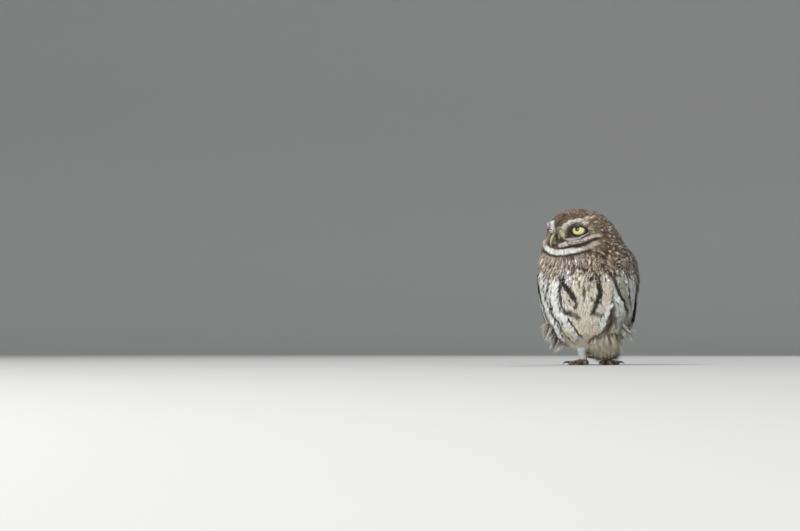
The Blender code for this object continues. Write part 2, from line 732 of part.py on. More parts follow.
def tail(name, collection, helpers):
    """The folded tail: twelve feathers, the middle pair on top and each next pair under the last."""
    core = tail_core(name, collection)
    room = grown(core, helpers)
    vanes = []
    for pair in range(TAIL_PAIRS):
        for side in (-1, 1):
            at_tip = side * (TAIL_INNER + TAIL_SPREAD * pair)
            tip = 1 - TAIL_SHORTER * MM / (TAIL_TIP - TAIL_ROOT).length * pair
            line = []
            for share, _ in VANE_SHAPE:
                along = TAIL_VANE_FROM + (tip - TAIL_VANE_FROM) * share
                spread = TAIL_NARROW + (1 - TAIL_NARROW) * share
                place, back = tail_place(at_tip * spread, along)
                lift = ((TAIL_PAIRS - 1) / 2 - pair) * TAIL_LEVEL * spread
                line.append((place, back, Vector((1, 0, 0)), lift))
            vanes.append(vane("rectrix", line, TAIL_VANE_WIDTH / 2, TAIL_VANE_TILT * side, helpers))
    combine(core, vanes, "UNION", "MANIFOLD")
    return core, room


def leg(side, name, collection):
    ankle = Vector((*ANKLE[side], ANKLE_LEVEL)) * MM
    hip = Vector((*HIP[side], HIP_LEVEL)) * MM
    points = []
    radii = LEG_RADII[side]
    for k in range(len(radii)):
        share = k / (len(radii) - 1)
        point = ankle.lerp(hip, share)
        point.xy = ankle.xy.lerp(hip.xy, share**LEG_BEND)
        points.append(point)
    turns = [2 * math.pi * k / LEG_SIDES for k in range(LEG_SIDES)]
    oval = [Vector((math.cos(turn), math.sin(turn) * LEG_DEEPER, 0)) for turn in turns]
    rings = [[point + out * radius * MM for out in oval] for point, radius in zip(points, radii)]
    return loft(name, rings, collection)


def toe_line(side, heading):
    """Foot of a toe and its direction."""
    return Vector((*ANKLE[side], 0)) * MM, facing(math.radians(heading))


def toe(side, heading, length, collection):
    start, ahead = toe_line(side, heading)
    points, radii = [], []
    for share, wide in TOE_SHAPE:
        reach = (TOE_START + share * length) * MM
        rise = TOE_LEVEL + TOE_RISE * (1 - share) ** 2
        points.append(start + ahead * reach + UP * rise * MM)
        radii.append((TOE_ROOT_RADIUS + (TOE_END_RADIUS - TOE_ROOT_RADIUS) * share) * wide * MM)
    return tube("toe", points, radii, TOE_SIDES, collection, leftward(math.radians(heading)))


def claw(side, heading, length, name, collection):
    start, ahead = toe_line(side, heading)
    end = TOE_START + length
    points = [start + (ahead * (end + beyond) + UP * level) * MM for beyond, level, _ in CLAW]
    across = leftward(math.radians(heading))
    return tube(name, points, [radius * MM for _, _, radius in CLAW], CLAW_SIDES, collection, across)


def foot(side, name, collection, helpers):
    """Pad and toes in one, with flat soles on the floor and a flat top under the leg."""
    shape = bmesh.new()
    bmesh.ops.create_uvsphere(shape, u_segments=12, v_segments=6, radius=PAD_RADIUS * MM)
    bmesh.ops.scale(shape, verts=shape.verts, vec=(1, 1, PAD_HALF_HEIGHT / PAD_RADIUS))
    bmesh.ops.translate(shape, verts=shape.verts, vec=Vector((*ANKLE[side], PAD_LEVEL)) * MM)
    obj = finish_shape(name, shape, collection)
    toes = [toe(side, heading, length, helpers) for _, heading, length in TOES[side]]
    combine(obj, toes, "UNION")
    cut_off(obj, Vector((0, 0, 0)), -UP)
    cut_off(obj, UP * (ANKLE_LEVEL * MM - GAP), UP)
    return obj


def material(slot):
    found = bpy.data.materials.get(slot)
    if found:
        return found
    colour, rough = COLOURS[slot]
    made = bpy.data.materials.new(slot)
    made.use_nodes = True
    shader = made.node_tree.nodes["Principled BSDF"]
    shader.inputs["Base Color"].default_value = (*colour, 1)
    shader.inputs["Roughness"].default_value = rough
    shader.inputs["Metallic"].default_value = 0
    return made


def paint(obj, slot):
    obj.data.materials.clear()
    obj.data.materials.append(material(slot))
    obj.data.shade_smooth()
    obj.data.set_sharp_from_angle(angle=SMOOTH_UNDER)


def centre_over_floor(objects):
    """Moves all pieces level, so that the origin is under the middle of the whole."""
    corners = np.array([v.co for obj in objects for v in obj.data.vertices])
    middle = (corners.min(axis=0) + corners.max(axis=0)) / 2
    shift = Matrix.Translation((-middle[0], -middle[1], 0))
    for obj in objects:
        obj.data.transform(shift)


def build():
    for obj in list(bpy.data.objects):
        bpy.data.objects.remove(obj)
    owl = bpy.data.collections.new("little_owl")
    helpers = bpy.data.collections.new("cutters")
    for collection in (owl, helpers):
        bpy.context.scene.collection.children.link(collection)

    low, high = neck_planes()
    torso = body_part("torso", owl, high=low)
    neck = body_part("neck", owl, low=low, high=high)
    head = body_part("head", owl, low=high)
    slots = {torso: "pale_plumage", neck: "brown_plumage", head: "brown_plumage"}

    for side, word in ((1, "left"), (-1, "right")):
        ball = eye(side, "eye_" + word, owl)
        slots[ball] = "iris"
        combine(head, [lid_opening(side, helpers)], "DIFFERENCE")
        combine(head, [lids(side, helpers)], "UNION")
        combine(head, [grown(ball, helpers)], "DIFFERENCE")

    upper = bill_half("bill_upper", UPPER_BILL, owl)
    lower = bill_half("bill_lower", LOWER_BILL, owl)
    combine(lower, [grown(upper, helpers)], "DIFFERENCE")
    combine(head, [grown(upper, helpers)], "DIFFERENCE")
    combine(head, [grown(lower, helpers)], "DIFFERENCE")
    combine(upper, nostrils(helpers), "DIFFERENCE")
    slots[upper] = slots[lower] = "bill"

    feathered = [wing(side, name, owl, helpers) for side, name in ((1, "wing_left"), (-1, "wing_right"))]
    feathered.append(tail("tail", owl, helpers))
    for piece, room in feathered:
        slots[piece] = "brown_plumage"
        combine(torso, [room], "DIFFERENCE")
    for piece, room in feathered:
        combine(piece, [grown(torso, helpers, FEATHER_GAP)], "DIFFERENCE", "MANIFOLD")

    for word in ("right", "left"):
        shin = leg(word, "leg_" + word, owl)
        slots[shin] = "pale_plumage"
        combine(torso, [grown(shin, helpers)], "DIFFERENCE")
        sole = foot(word, "foot_" + word, owl, helpers)
        slots[sole] = "foot"
        for toe_name, heading, length in TOES[word]:
            nail = claw(word, heading, length, "claw_%s_%s" % (word, toe_name), owl)
            slots[nail] = "claw"
            combine(sole, [grown(nail, helpers)], "DIFFERENCE")

    for obj, slot in slots.items():
        paint(obj, slot)
    centre_over_floor(list(slots))


build()
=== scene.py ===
"""Little owl, life size: skin, feathers, eyes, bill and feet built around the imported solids."""

import math

import bmesh
import bpy
import numpy as np
from bpy.props import FloatProperty, FloatVectorProperty, PointerProperty
from bpy.types import Operator, Panel, PropertyGroup
from mathutils import Matrix, Vector
from mathutils.bvhtree import BVHTree


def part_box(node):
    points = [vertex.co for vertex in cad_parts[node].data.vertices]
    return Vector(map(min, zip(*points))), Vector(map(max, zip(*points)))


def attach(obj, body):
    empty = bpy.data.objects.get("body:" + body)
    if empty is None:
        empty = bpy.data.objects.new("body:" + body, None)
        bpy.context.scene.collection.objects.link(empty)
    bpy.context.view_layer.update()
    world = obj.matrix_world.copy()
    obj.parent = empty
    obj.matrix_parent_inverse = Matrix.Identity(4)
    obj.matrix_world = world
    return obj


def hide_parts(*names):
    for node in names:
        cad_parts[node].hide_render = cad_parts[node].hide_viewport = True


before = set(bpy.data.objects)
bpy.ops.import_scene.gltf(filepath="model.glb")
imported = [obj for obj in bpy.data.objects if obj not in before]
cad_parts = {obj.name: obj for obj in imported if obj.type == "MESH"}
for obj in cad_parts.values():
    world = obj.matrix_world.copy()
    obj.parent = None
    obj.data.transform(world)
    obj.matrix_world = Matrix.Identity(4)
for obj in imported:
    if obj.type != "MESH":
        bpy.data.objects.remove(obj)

bl_info = {
    "name": "Little owl",
    "version": (1, 0, 0),
    "blender": (4, 5, 0),
    "location": "View3D > Sidebar > Little owl",
    "description": "Builds a life-size little owl over its solids",
    "category": "Object",
}

MM = 0.001
UP = Vector((0, 0, 1))
SIDES = {"left": 1, "right": -1}
TOE_NAMES = ("inner", "middle", "outer", "hind")
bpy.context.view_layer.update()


# Places taken from the solids
def middle(node):
    low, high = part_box(node)
    return (low + high) / 2


EYES = {side: middle("eye_" + side) for side in SIDES}
FACE_LEVEL = 144.0
EYE_AHEAD = 18.0
HEAD_FORWARD = 9.0
AXIS_BACK = 1.0  # the design's upright, that the head turns about, behind the design's origin
HEAD_LEFT = (EYES["left"] - EYES["right"]).normalized()
HEAD_AHEAD = Vector((HEAD_LEFT.y, -HEAD_LEFT.x, 0))
HEAD_TURN = math.atan2(HEAD_LEFT.y, HEAD_LEFT.x)
HEAD_MIDDLE = (EYES["left"] + EYES["right"]) / 2 - HEAD_AHEAD * EYE_AHEAD * MM
HEAD_MIDDLE.z = 0
SHIFT = HEAD_MIDDLE - HEAD_AHEAD * HEAD_FORWARD * MM - Vector((0, AXIS_BACK, 0)) * MM
BODY_MIDDLE = np.array((0, -5.8, 0)) * MM  # the markings' angles are read round this upright
GAZE_OUT = math.radians(25)
EYE_RADIUS = 9.6
# The opening of the lids, round the middle of the gaze: half widths, middle, half height, squareness
LID_INNER, LID_OUTER = 6.9, 7.6
LID_MIDDLE = -2.0
LID_HALF_HEIGHT = 3.8
LID_ABOVE, LID_BELOW = 2.5, 1.8
LID_RIM = 1.5  # width of the bare rim
LID_CORNER = 2.6  # the rim's reach beyond the outer corner
CORNEA = 0.9  # how far the cornea bulges, and how wide it is
CORNEA_HALF_WIDTH = 7.4


def facing(turn):
    return Vector((math.sin(turn), -math.cos(turn), 0))


def leftward(turn):
    return Vector((math.cos(turn), math.sin(turn), 0))


def head_point(left, level, ahead):
    """A place in the head: millimetres to the owl's left, above the floor, and ahead of its middle."""
    return HEAD_MIDDLE + (HEAD_LEFT * left + UP * level + HEAD_AHEAD * ahead) * MM


class Through:
    """A smooth line through rows of numbers, by the first of each row, that never overshoots them."""

    def __init__(self, rows):
        table = np.array(rows, float)
        self.at_row, self.values = table[:, 0], table[:, 1:]
        self.steps = np.diff(self.at_row)[:, None]
        slopes = np.diff(self.values, axis=0) / self.steps
        self.tangents = np.zeros_like(self.values)
        self.tangents[0], self.tangents[-1] = slopes[0], slopes[-1]
        both = slopes[:-1] * slopes[1:]
        total = np.where(both > 0, slopes[:-1] + slopes[1:], 1.0)
        self.tangents[1:-1] = np.where(both > 0, 2 * both / total, 0.0)

    def __call__(self, where):
        row = int(np.clip(np.searchsorted(self.at_row, where) - 1, 0, len(self.steps) - 1))
        step = self.steps[row, 0]
        t = float(np.clip((where - self.at_row[row]) / step, 0, 1))
        return (
            (2 * t**3 - 3 * t**2 + 1) * self.values[row]
            + (t**3 - 2 * t**2 + t) * step * self.tangents[row]
            + (3 * t**2 - 2 * t**3) * self.values[row + 1]
            + (t**3 - t**2) * step * self.tangents[row + 1]
        )


# The folded wing. Rows: height, half width, half depth, centre to the back
WING_FORM = Through(
    (
        (18.0, 37.0, 54.0, 6.0),
        (33.0, 44.0, 50.0, 5.0),
        (45.0, 48.0, 47.5, 4.5),
        (60.0, 50.0, 45.6, 3.5),
        (76.0, 52.0, 45.7, 2.6),
        (92.0, 53.6, 45.8, 2.0),
        (106.0, 53.6, 44.8, 2.0),
        (113.0, 52.0, 43.6, 1.5),
    )
)
# Rows: height, front edge and back edge in degrees round from the owl's side
WING_LOW, WING_HIGH = 20.0, 111.3
WING_OUTLINE = Through(
    (
        (WING_LOW, 64.0, 70.0),
        (25.0, 56.0, 74.0),
        (33.0, 42.0, 79.0),
        (42.0, 24.0, 83.0),
        (52.0, 6.0, 85.5),
        (65.0, -6.0, 86.0),
        (80.0, -10.0, 85.5),
        (95.0, -10.0, 83.0),
        (105.0, -6.0, 76.0),
        (109.5, 4.0, 62.0),
        (WING_HIGH, 20.0, 42.0),
    )
)
WING_SQUARE = 2.2
WING_FLESH_LOW = 0.33

# The tail's middle sheet
TAIL_ROOT = Vector((2.0, 33.0, 51.0)) * MM
TAIL_TIP = Vector((10.0, 61.0, 3.2)) * MM

# Bill. Rows: ahead of the head's middle, height, half width, half height
UPPER_BILL = (
    (24.0, 134.0, 4.3, 4.0),
    (30.0, 136.9, 4.3, 4.3),
    (34.0, 137.5, 4.0, 4.0),
    (37.6, 136.8, 3.5, 3.5),
    (40.6, 134.2, 2.6, 2.7),
    (42.4, 130.8, 1.5, 1.7),
    (42.9, 127.9, 0.8, 0.9),
    (42.4, 125.9, 0.25, 0.3),
)
LOWER_BILL = (
    (24.0, 131.2, 3.6, 2.3),
    (33.5, 131.4, 3.2, 2.2),
    (37.0, 130.9, 2.4, 1.7),
    (39.6, 129.8, 1.3, 1.0),
    (40.7, 129.2, 0.4, 0.35),
)

# Legs and feet
ANKLE = {"right": (-6.0, -2.0), "left": (19.0, 3.0)}
ANKLE_LEVEL = 6.5
TOES = {
    "right": {"inner": (19, 18.0), "middle": (-12, 20.5), "outer": (-52, 16.0), "hind": (168, 11.5)},
    "left": {"inner": (-12, 18.0), "middle": (19, 20.5), "outer": (133, 15.0), "hind": (-172, 11.5)},
}
TOE_START = 2.0
# Rows: share of the toe's length, radius against its even taper
TOE_SHAPE = ((0.0, 1.1), (0.3, 1.05), (0.42, 0.9), (0.55, 1.04), (0.7, 0.88), (0.82, 1.0), (0.93, 0.98), (1.0, 0.5))
# Rows: beyond the toe's end, height, radius
CLAW = ((-2.6, 2.5, 1.15), (0.8, 3.25, 1.1), (3.6, 3.1, 0.85), (6.0, 2.2, 0.5), (7.6, 0.95, 0.12))


def wing_place(side, across, along):
    """A place on the wing's form and its outward direction. across runs back, along runs from the tip up."""
    level = WING_LOW + (WING_HIGH - WING_LOW) * along
    front, back = WING_OUTLINE(level)
    angle = math.radians(front + (back - front) * across)

    def on_form(angle, level):
        half_width, half_depth, centre = WING_FORM(level)
        x, y = math.cos(angle), math.sin(angle)
        reach = (abs(x) ** WING_SQUARE + abs(y) ** WING_SQUARE) ** (-1 / WING_SQUARE)
        return Vector((x * reach * half_width, centre + y * reach * half_depth, level)) * MM

    bit = 0.01
    around = on_form(angle + bit, level) - on_form(angle - bit, level)
    rise = on_form(angle, level + bit) - on_form(angle, level - bit)
    mirror = Vector((side, 1, 1))
    return on_form(angle, level) * mirror + SHIFT, around.cross(rise).normalized() * mirror


def tail_place(across, along):
    """A place on the tail's middle sheet and its backward direction. across is in millimetres."""
    down = TAIL_TIP - TAIL_ROOT
    back = Vector((0, -down.z, down.y)).normalized()
    return TAIL_ROOT + down * along + Vector((across, 0, 0)) * MM + SHIFT, back


def smooth(low, high, value):
    """0 below low, 1 above high, and a soft step between."""
    t = np.clip((value - low) / (high - low), 0, 1)
    return t * t * (3 - 2 * t)


def unit(rows):
    return rows / np.maximum(np.linalg.norm(rows, axis=-1, keepdims=True), 1e-12)


# Sizes and colours that a user would change
def colour(name, description, value):
    return FloatVectorProperty(
        name=name, description=description, default=value, subtype="COLOR", size=3, min=0, max=1
    )


def size(name, description, value):
    return FloatProperty(name=name, description=description, default=value * MM, unit="LENGTH", precision=5)


class OwlSizes(PropertyGroup):
    """Sizes of the owl's own parts"""

    coat_body: size("Body coat", "Depth of the feathers on breast and belly", 5.0)
    coat_nape: size("Nape coat", "Depth of the feathers on the nape", 3.2)
    coat_crown: size("Crown coat", "Depth of the feathers on the crown", 2.4)
    coat_face: size("Face coat", "Depth of the feathers on the face", 1.3)
    coat_leg: size("Leg coat", "Depth of the feathers on the legs", 2.0)
    pupil: size("Pupil", "Radius of the pupil", 2.5)
    iris: size("Iris", "Radius of the iris", 7.3)


class OwlColours(PropertyGroup):
    """Colours of the plumage and of the bare parts"""

    white: colour("White", "White of throat and belly feathers", (0.77, 0.79, 0.75))
    cream: colour("Cream", "Cream of the vent and legs", (0.66, 0.60, 0.475))
    blush: colour("Blush", "Warm white of the brows and the lower face", (0.70, 0.62, 0.53))
    buff: colour("Buff", "Buff of the breast and of the spots", (0.52, 0.42, 0.32))
    brown: colour("Brown", "Brown of crown, back and wings", (0.122, 0.080, 0.053))
    dark: colour("Dark brown", "Dark brown of the streaks", (0.028, 0.020, 0.014))
    ear: colour("Ear coverts", "Grey-green brown behind the eye", (0.19, 0.165, 0.11))
    lore: colour("Lores", "Greenish cream of the bristles by the bill", (0.42, 0.40, 0.24))
    # The flank tone is painted shade: a darker greenish grey for the white plumage on the lower and shaded sides
    flank: colour("Flanks", "Greenish grey of the flanks", (0.36, 0.36, 0.28))
    iris: colour("Iris", "Lemon yellow of the iris", (0.84, 0.86, 0.33))
    lids: colour("Lids", "Bare rims of the lids", (0.018, 0.015, 0.014))
    bill: colour("Bill", "Yellowish horn of the bill's ridge", (0.46, 0.43, 0.2))
    # painted shade of the bill's sides
    bill_side_shade: colour("Bill sides", "Grey-green horn of the bill's sides", (0.2, 0.21, 0.13))
    toes: colour("Toes", "Skin of the toes", (0.17, 0.125, 0.085))
    claws: colour("Claws", "Dark horn of the claws", (0.02, 0.017, 0.015))


class OwlStage(PropertyGroup):
    """Camera and light"""

    distance: FloatProperty(name="Camera distance", description="To the owl", default=1.5, unit="LENGTH")
    height: FloatProperty(name="Camera height", description="Above the floor", default=0.015, unit="LENGTH")
    round: FloatProperty(
        name="Camera round", description="To the owl's left of straight ahead", default=math.radians(6), subtype="ANGLE"
    )
    floor: colour("Floor", "Pale floor and backdrop", (0.62, 0.62, 0.61))


def sizes():
    return bpy.context.scene.owl_sizes


def tone(name):
    return np.array(getattr(bpy.context.scene.owl_colours, name))


# Mesh helpers
def finish_piece(name, shape, nodes=(), merge=1e-6):
    """A bmesh becomes a smooth piece that rides on the owl."""
    bmesh.ops.remove_doubles(shape, verts=shape.verts, dist=merge)
    bmesh.ops.recalc_face_normals(shape, faces=shape.faces)
    mesh = bpy.data.meshes.new(name)
    shape.to_mesh(mesh)
    shape.free()
    mesh.shade_smooth()
    return hand_over(name, mesh, nodes)


def hand_over(name, mesh, nodes=()):
    obj = bpy.data.objects.new(name, mesh)
    bpy.context.scene.collection.objects.link(obj)
    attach(obj, "root")
    if nodes:
        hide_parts(*nodes)
    return obj


def wrapped(shape, around, along, place):
    """Adds a grid bent by place(share round, share along); its seam and poles merge when it's finished."""
    made = bmesh.ops.create_grid(shape, x_segments=around, y_segments=along, size=1)
    for vert in made["verts"]:
        vert.co = place((vert.co.x + 1) / 2, (vert.co.y + 1) / 2)
    return made["verts"]


def tube(shape, around, along, rows, across):
    """Adds a closed bar. rows(share) gives its middle, half width and half height; across is its sideways direction."""
    bit = 0.01

    def place(turn, share):
        middle, half_width, half_height = rows(share)
        ahead = rows(min(share + bit, 1))[0] - rows(max(share - bit, 0))[0]
        above = across.cross(ahead).normalized()
        angle = 2 * math.pi * turn
        if share in (0, 1):
            return middle
        return middle + across * math.cos(angle) * half_width + above * math.sin(angle) * half_height

    return wrapped(shape, around, along, place)


def colour_layer(mesh, name, values):
    layer = mesh.attributes.new(name, "FLOAT_COLOR", "POINT")
    rows = np.ones((len(mesh.vertices), 4), np.float32)
    rows[:, : values.shape[1]] = values
    layer.data.foreach_set("color", rows.ravel())


def vertices_of(mesh):
    rows = np.empty(len(mesh.vertices) * 3, np.float32)
    mesh.vertices.foreach_get("co", rows)
    return rows.reshape(-1, 3).astype(float)


def normals_of(mesh):
    rows = np.empty(len(mesh.vertices) * 3, np.float32)
    mesh.vertices.foreach_get("normal", rows)
    return rows.reshape(-1, 3).astype(float)


# Material helpers
def new_material(name):
    made = bpy.data.materials.new(name)
    made.use_nodes = True
    nodes = made.node_tree.nodes
    return made, nodes, made.node_tree.links, nodes["Principled BSDF"]


def node(nodes, kind, **values):
    made = nodes.new(kind)
    for key, value in values.items():
        if key.startswith("in_"):
            slot = key[3:]
            made.inputs[int(slot) if slot.isdigit() else slot.replace("_", " ")].default_value = value
        else:
            setattr(made, key, value)
    return made


def sums(nodes, links, operation, *values, clamp=False):
    """A Math node whose inputs are sockets or numbers; gives its output."""
    made = nodes.new("ShaderNodeMath")
    made.operation = operation
    made.use_clamp = clamp
    for k, value in enumerate(values):
        if isinstance(value, (int, float)):
            made.inputs[k].default_value = value
        else:
            links.new(value, made.inputs[k])
    return made.outputs[0]


def mixed(nodes, links, share, first, second, blend="MIX"):
    made = nodes.new("ShaderNodeMix")
    made.data_type = "RGBA"
    made.blend_type = blend
    for slot, value in ((0, share), (6, first), (7, second)):
        if isinstance(value, (int, float)):
            made.inputs[slot].default_value = value
        elif isinstance(value, (tuple, list, np.ndarray)):
            made.inputs[slot].default_value = (*value[:3], 1)
        else:
            links.new(value, made.inputs[slot])
    return made.outputs[2]


def feather_group():
    """Colours and relief of one feather, from its own vane map and its marking attributes, with painted shade towards
    its root.
    """
    found = bpy.data.node_groups.get("Feather marks")
    if found:
        return found
    group = bpy.data.node_groups.new("Feather marks", "ShaderNodeTree")
    for name, kind in (("Tint", "NodeSocketColor"), ("Mark", "NodeSocketColor"), ("Kinds", "NodeSocketColor")):
        group.interface.new_socket(name=name, in_out="INPUT", socket_type=kind)
    group.interface.new_socket(name="Fringe", in_out="INPUT", socket_type="NodeSocketFloat")
    group.interface.new_socket(name="Vane", in_out="INPUT", socket_type="NodeSocketVector")
    group.interface.new_socket(name="Color", in_out="OUTPUT", socket_type="NodeSocketColor")
    group.interface.new_socket(name="Height", in_out="OUTPUT", socket_type="NodeSocketFloat")
    nodes, links = group.nodes, group.links
    given = nodes.new("NodeGroupInput").outputs
    out = nodes.new("NodeGroupOutput").inputs
    parts = nodes.new("ShaderNodeSeparateXYZ")
    links.new(given["Vane"], parts.inputs[0])
    kinds = nodes.new("ShaderNodeSeparateColor")
    links.new(given["Kinds"], kinds.inputs[0])

    def math_(operation, *values, clamp=False):
        return sums(nodes, links, operation, *values, clamp=clamp)

    def soft(value, low, high):
        made = node(nodes, "ShaderNodeMapRange", interpolation_type="SMOOTHSTEP", in_1=low, in_2=high)
        links.new(value, made.inputs[0])
        return made.outputs[0]

    aside = math_("ABSOLUTE", math_("MULTIPLY", math_("SUBTRACT", parts.outputs[0], 0.5), 2.0))
    along = parts.outputs[1]
    # A streak along the shaft, a pair of round spots, and bars across
    streak = math_("MULTIPLY", soft(aside, 0.34, 0.16), soft(along, 0.45, 0.6))
    streak = math_("MULTIPLY", streak, soft(along, 0.99, 0.9))
    spot_x = math_("SUBTRACT", aside, 0.42)
    spot_y = math_("MULTIPLY", math_("SUBTRACT", along, 0.84), 2.6)
    away = math_("SQRT", math_("ADD", math_("MULTIPLY", spot_x, spot_x), math_("MULTIPLY", spot_y, spot_y)))
    spots = soft(away, 0.34, 0.2)
    wave = math_("SINE", math_("ADD", math_("MULTIPLY", along, 38.0), math_("MULTIPLY", aside, 1.5)))
    bars = math_("MULTIPLY", soft(wave, 0.35, 0.65), soft(aside, 0.98, 0.8))
    bars = math_("MULTIPLY", bars, soft(aside, 0.06, 0.2))
    fringe = math_("MAXIMUM", soft(aside, 0.7, 0.95), soft(along, 0.86, 0.97))
    share = math_("MULTIPLY", streak, kinds.outputs[0])
    share = math_("MAXIMUM", share, math_("MULTIPLY", spots, kinds.outputs[1]))
    share = math_("MAXIMUM", share, math_("MULTIPLY", bars, kinds.outputs[2]))
    share = math_("MAXIMUM", share, math_("MULTIPLY", fringe, given["Fringe"]), clamp=True)
    barbs = math_("SINE", math_("ADD", math_("MULTIPLY", along, 210.0), math_("MULTIPLY", aside, -70.0)))
    shaft = soft(aside, 0.1, 0.03)
    colour_ = mixed(nodes, links, share, given["Tint"], given["Mark"])
    # Painted shade: each feather darkens towards its root, where the feathers above it lie over it.
    root_shade = math_("ADD", 0.5, math_("MULTIPLY", soft(along, 0.1, 0.5), 0.5))
    root_shade_colour = nodes.new("ShaderNodeCombineColor")
    for k in range(3):
        links.new(root_shade, root_shade_colour.inputs[k])
    colour_ = mixed(nodes, links, 1.0, colour_, root_shade_colour.outputs[0], "MULTIPLY")
    shade = math_("ADD", 0.94, math_("MULTIPLY", barbs, 0.06))
    grey = nodes.new("ShaderNodeCombineColor")
    for k in range(3):
        links.new(shade, grey.inputs[k])
    colour_ = mixed(nodes, links, 1.0, colour_, grey.outputs[0], "MULTIPLY")
    colour_ = mixed(nodes, links, math_("MULTIPLY", shaft, 0.25), colour_, (0.06, 0.045, 0.03))
    links.new(colour_, out["Color"])
    links.new(math_("ADD", math_("MULTIPLY", barbs, 0.35), shaft), out["Height"])
    return group


def feather_material():
    found = bpy.data.materials.get("Feather")
    if found:
        return found
    made, nodes, links, shader = new_material("Feather")
    group = node(nodes, "ShaderNodeGroup", node_tree=feather_group())
    for name, slot in (("tint", "Tint"), ("mark", "Mark"), ("kinds", "Kinds")):
        read = node(nodes, "ShaderNodeAttribute", attribute_name=name)
        links.new(read.outputs["Color"], group.inputs[slot])
        if name == "kinds":
            links.new(read.outputs["Alpha"], group.inputs["Fringe"])
    vane = node(nodes, "ShaderNodeUVMap", uv_map="vane")
    links.new(vane.outputs[0], group.inputs["Vane"])
    links.new(group.outputs["Color"], shader.inputs["Base Color"])
    bump = node(nodes, "ShaderNodeBump", in_Strength=0.25, in_Distance=0.0001)
    links.new(group.outputs["Height"], bump.inputs["Height"])
    links.new(bump.outputs[0], shader.inputs["Normal"])
    shader.inputs["Roughness"].default_value = 0.72
    shader.inputs["Specular IOR Level"].default_value = 0.25
    shader.inputs["Sheen Weight"].default_value = 0.12
    shader.inputs["Sheen Roughness"].default_value = 0.5
    return made


# The markings, read at places in millimetres
class Lines:
    """Named bands that follow lines over the body or the face."""

    def __init__(self, rows):
        self.rows = rows

    def near(self, places, points):
        """Distance from each place to the broken line through the points."""
        best = np.full(len(places), 1e9)
        points = np.array(points, float)
        for a, b in zip(points[:-1], points[1:]):
            along = b - a
            share = np.clip(((places - a) @ along) / max(along @ along, 1e-9), 0, 1)
            best = np.minimum(best, np.linalg.norm(places - a - share[:, None] * along, axis=1))
        return best

    def paint(self, colours, places, tones):
        for tone_name, half, soft, strength, points in self.rows:
            away = self.near(places, points)
            share = (strength * smooth(half + soft, half - soft, away))[:, None]
            colours[:] = colours * (1 - share) + tones[tone_name] * share
        return colours


AROUND = 0.84  # millimetres round the body for each degree
# Dark streaks of the underparts: tone, half width, softness, strength, (degrees to the owl's left, height)
STREAKS = (
    ("dark", 1.5, 0.9, 0.9, ((-88, 97), (-80, 86), (-74, 72), (-72, 58), (-70, 46))),
    ("dark", 1.5, 0.9, 0.9, ((-50, 99), (-49, 88), (-52, 80.7), (-57.6, 75.7))),
    ("dark", 1.5, 0.9, 0.95, ((-49.5, 70), (-51, 60), (-50, 52), (-43.5, 46), (-43, 37), (-39, 30), (-42, 24))),
    ("dark", 1.1, 0.8, 0.85, ((-62, 50), (-61, 40), (-66, 30))),
    ("dark", 3.4, 1.3, 1.0, ((-29.4, 92), (-26.0, 84.5), (-19.0, 78), (-13.5, 70.5))),
    ("dark", 2.0, 1.2, 0.9, ((-13.5, 70.5), (-10, 65), (-12.5, 60.5))),
    ("dark", 1.7, 1.0, 0.95, ((-32, 84), (-32.5, 72.8), (-32, 62.7), (-29, 56.7), (-21.4, 53.8))),
    ("dark", 2.9, 1.8, 0.8, ((-25, 56.5), (-17, 53.5), (-9, 51))),
    ("dark", 1.5, 0.9, 0.95, ((-26, 49), (-21.6, 44), (-16.6, 38), (-13.5, 33), (-9, 30))),
    ("dark", 3.0, 1.2, 1.0, ((16.1, 95), (19.5, 86.7), (21.4, 77.4), (18.6, 67))),
    ("dark", 2.4, 1.2, 0.95, ((18.6, 67), (14, 59.5), (10.5, 54))),
    ("dark", 2.6, 1.8, 0.75, ((14, 55.5), (25.8, 51.4))),
    ("dark", 2.2, 1.0, 0.95, ((35, 97), (42.6, 83.3), (48.2, 74), (56.3, 65.4), (68.2, 54.7))),
    ("dark", 1.2, 0.8, 0.8, ((37, 74), (39, 64), (36.5, 55), (31, 47))),
    ("dark", 1.3, 0.7, 0.95, ((33.3, 36.2), (24.5, 31.2), (12, 27), (2.5, 22.5))),
    ("dark", 1.0, 0.7, 0.75, ((0.5, 84), (2, 76), (0, 68))),
    ("dark", 1.6, 1.0, 0.9, ((56, 97), (60, 86), (64, 74), (72, 62))),
    ("dark", 1.5, 0.9, 0.9, ((0.5, 79), (-1.5, 73))),
    ("dark", 1.3, 0.9, 0.85, ((10, 72), (11.5, 68))),
    ("brown", 1.3, 1.2, 0.6, ((1, 90), (0.5, 86))),
    ("brown", 1.2, 0.9, 0.8, ((-7, 88), (-5, 82))),
    ("brown", 1.2, 0.9, 0.8, ((8, 84), (7, 79))),
    ("brown", 6.0, 3.0, 0.9, ((38, 58), (40, 47), (38, 38))),
    ("dark", 2.4, 2.0, 0.8, ((36, 55), (41, 46), (38, 39))),
    ("dark", 2.5, 2.0, 0.7, ((47, 50), (52, 40))),
    # a broad patch of painted shade low on the owl's left side
    ("flank", 8.0, 5.0, 0.8, ((62, 48), (72, 36))),
)
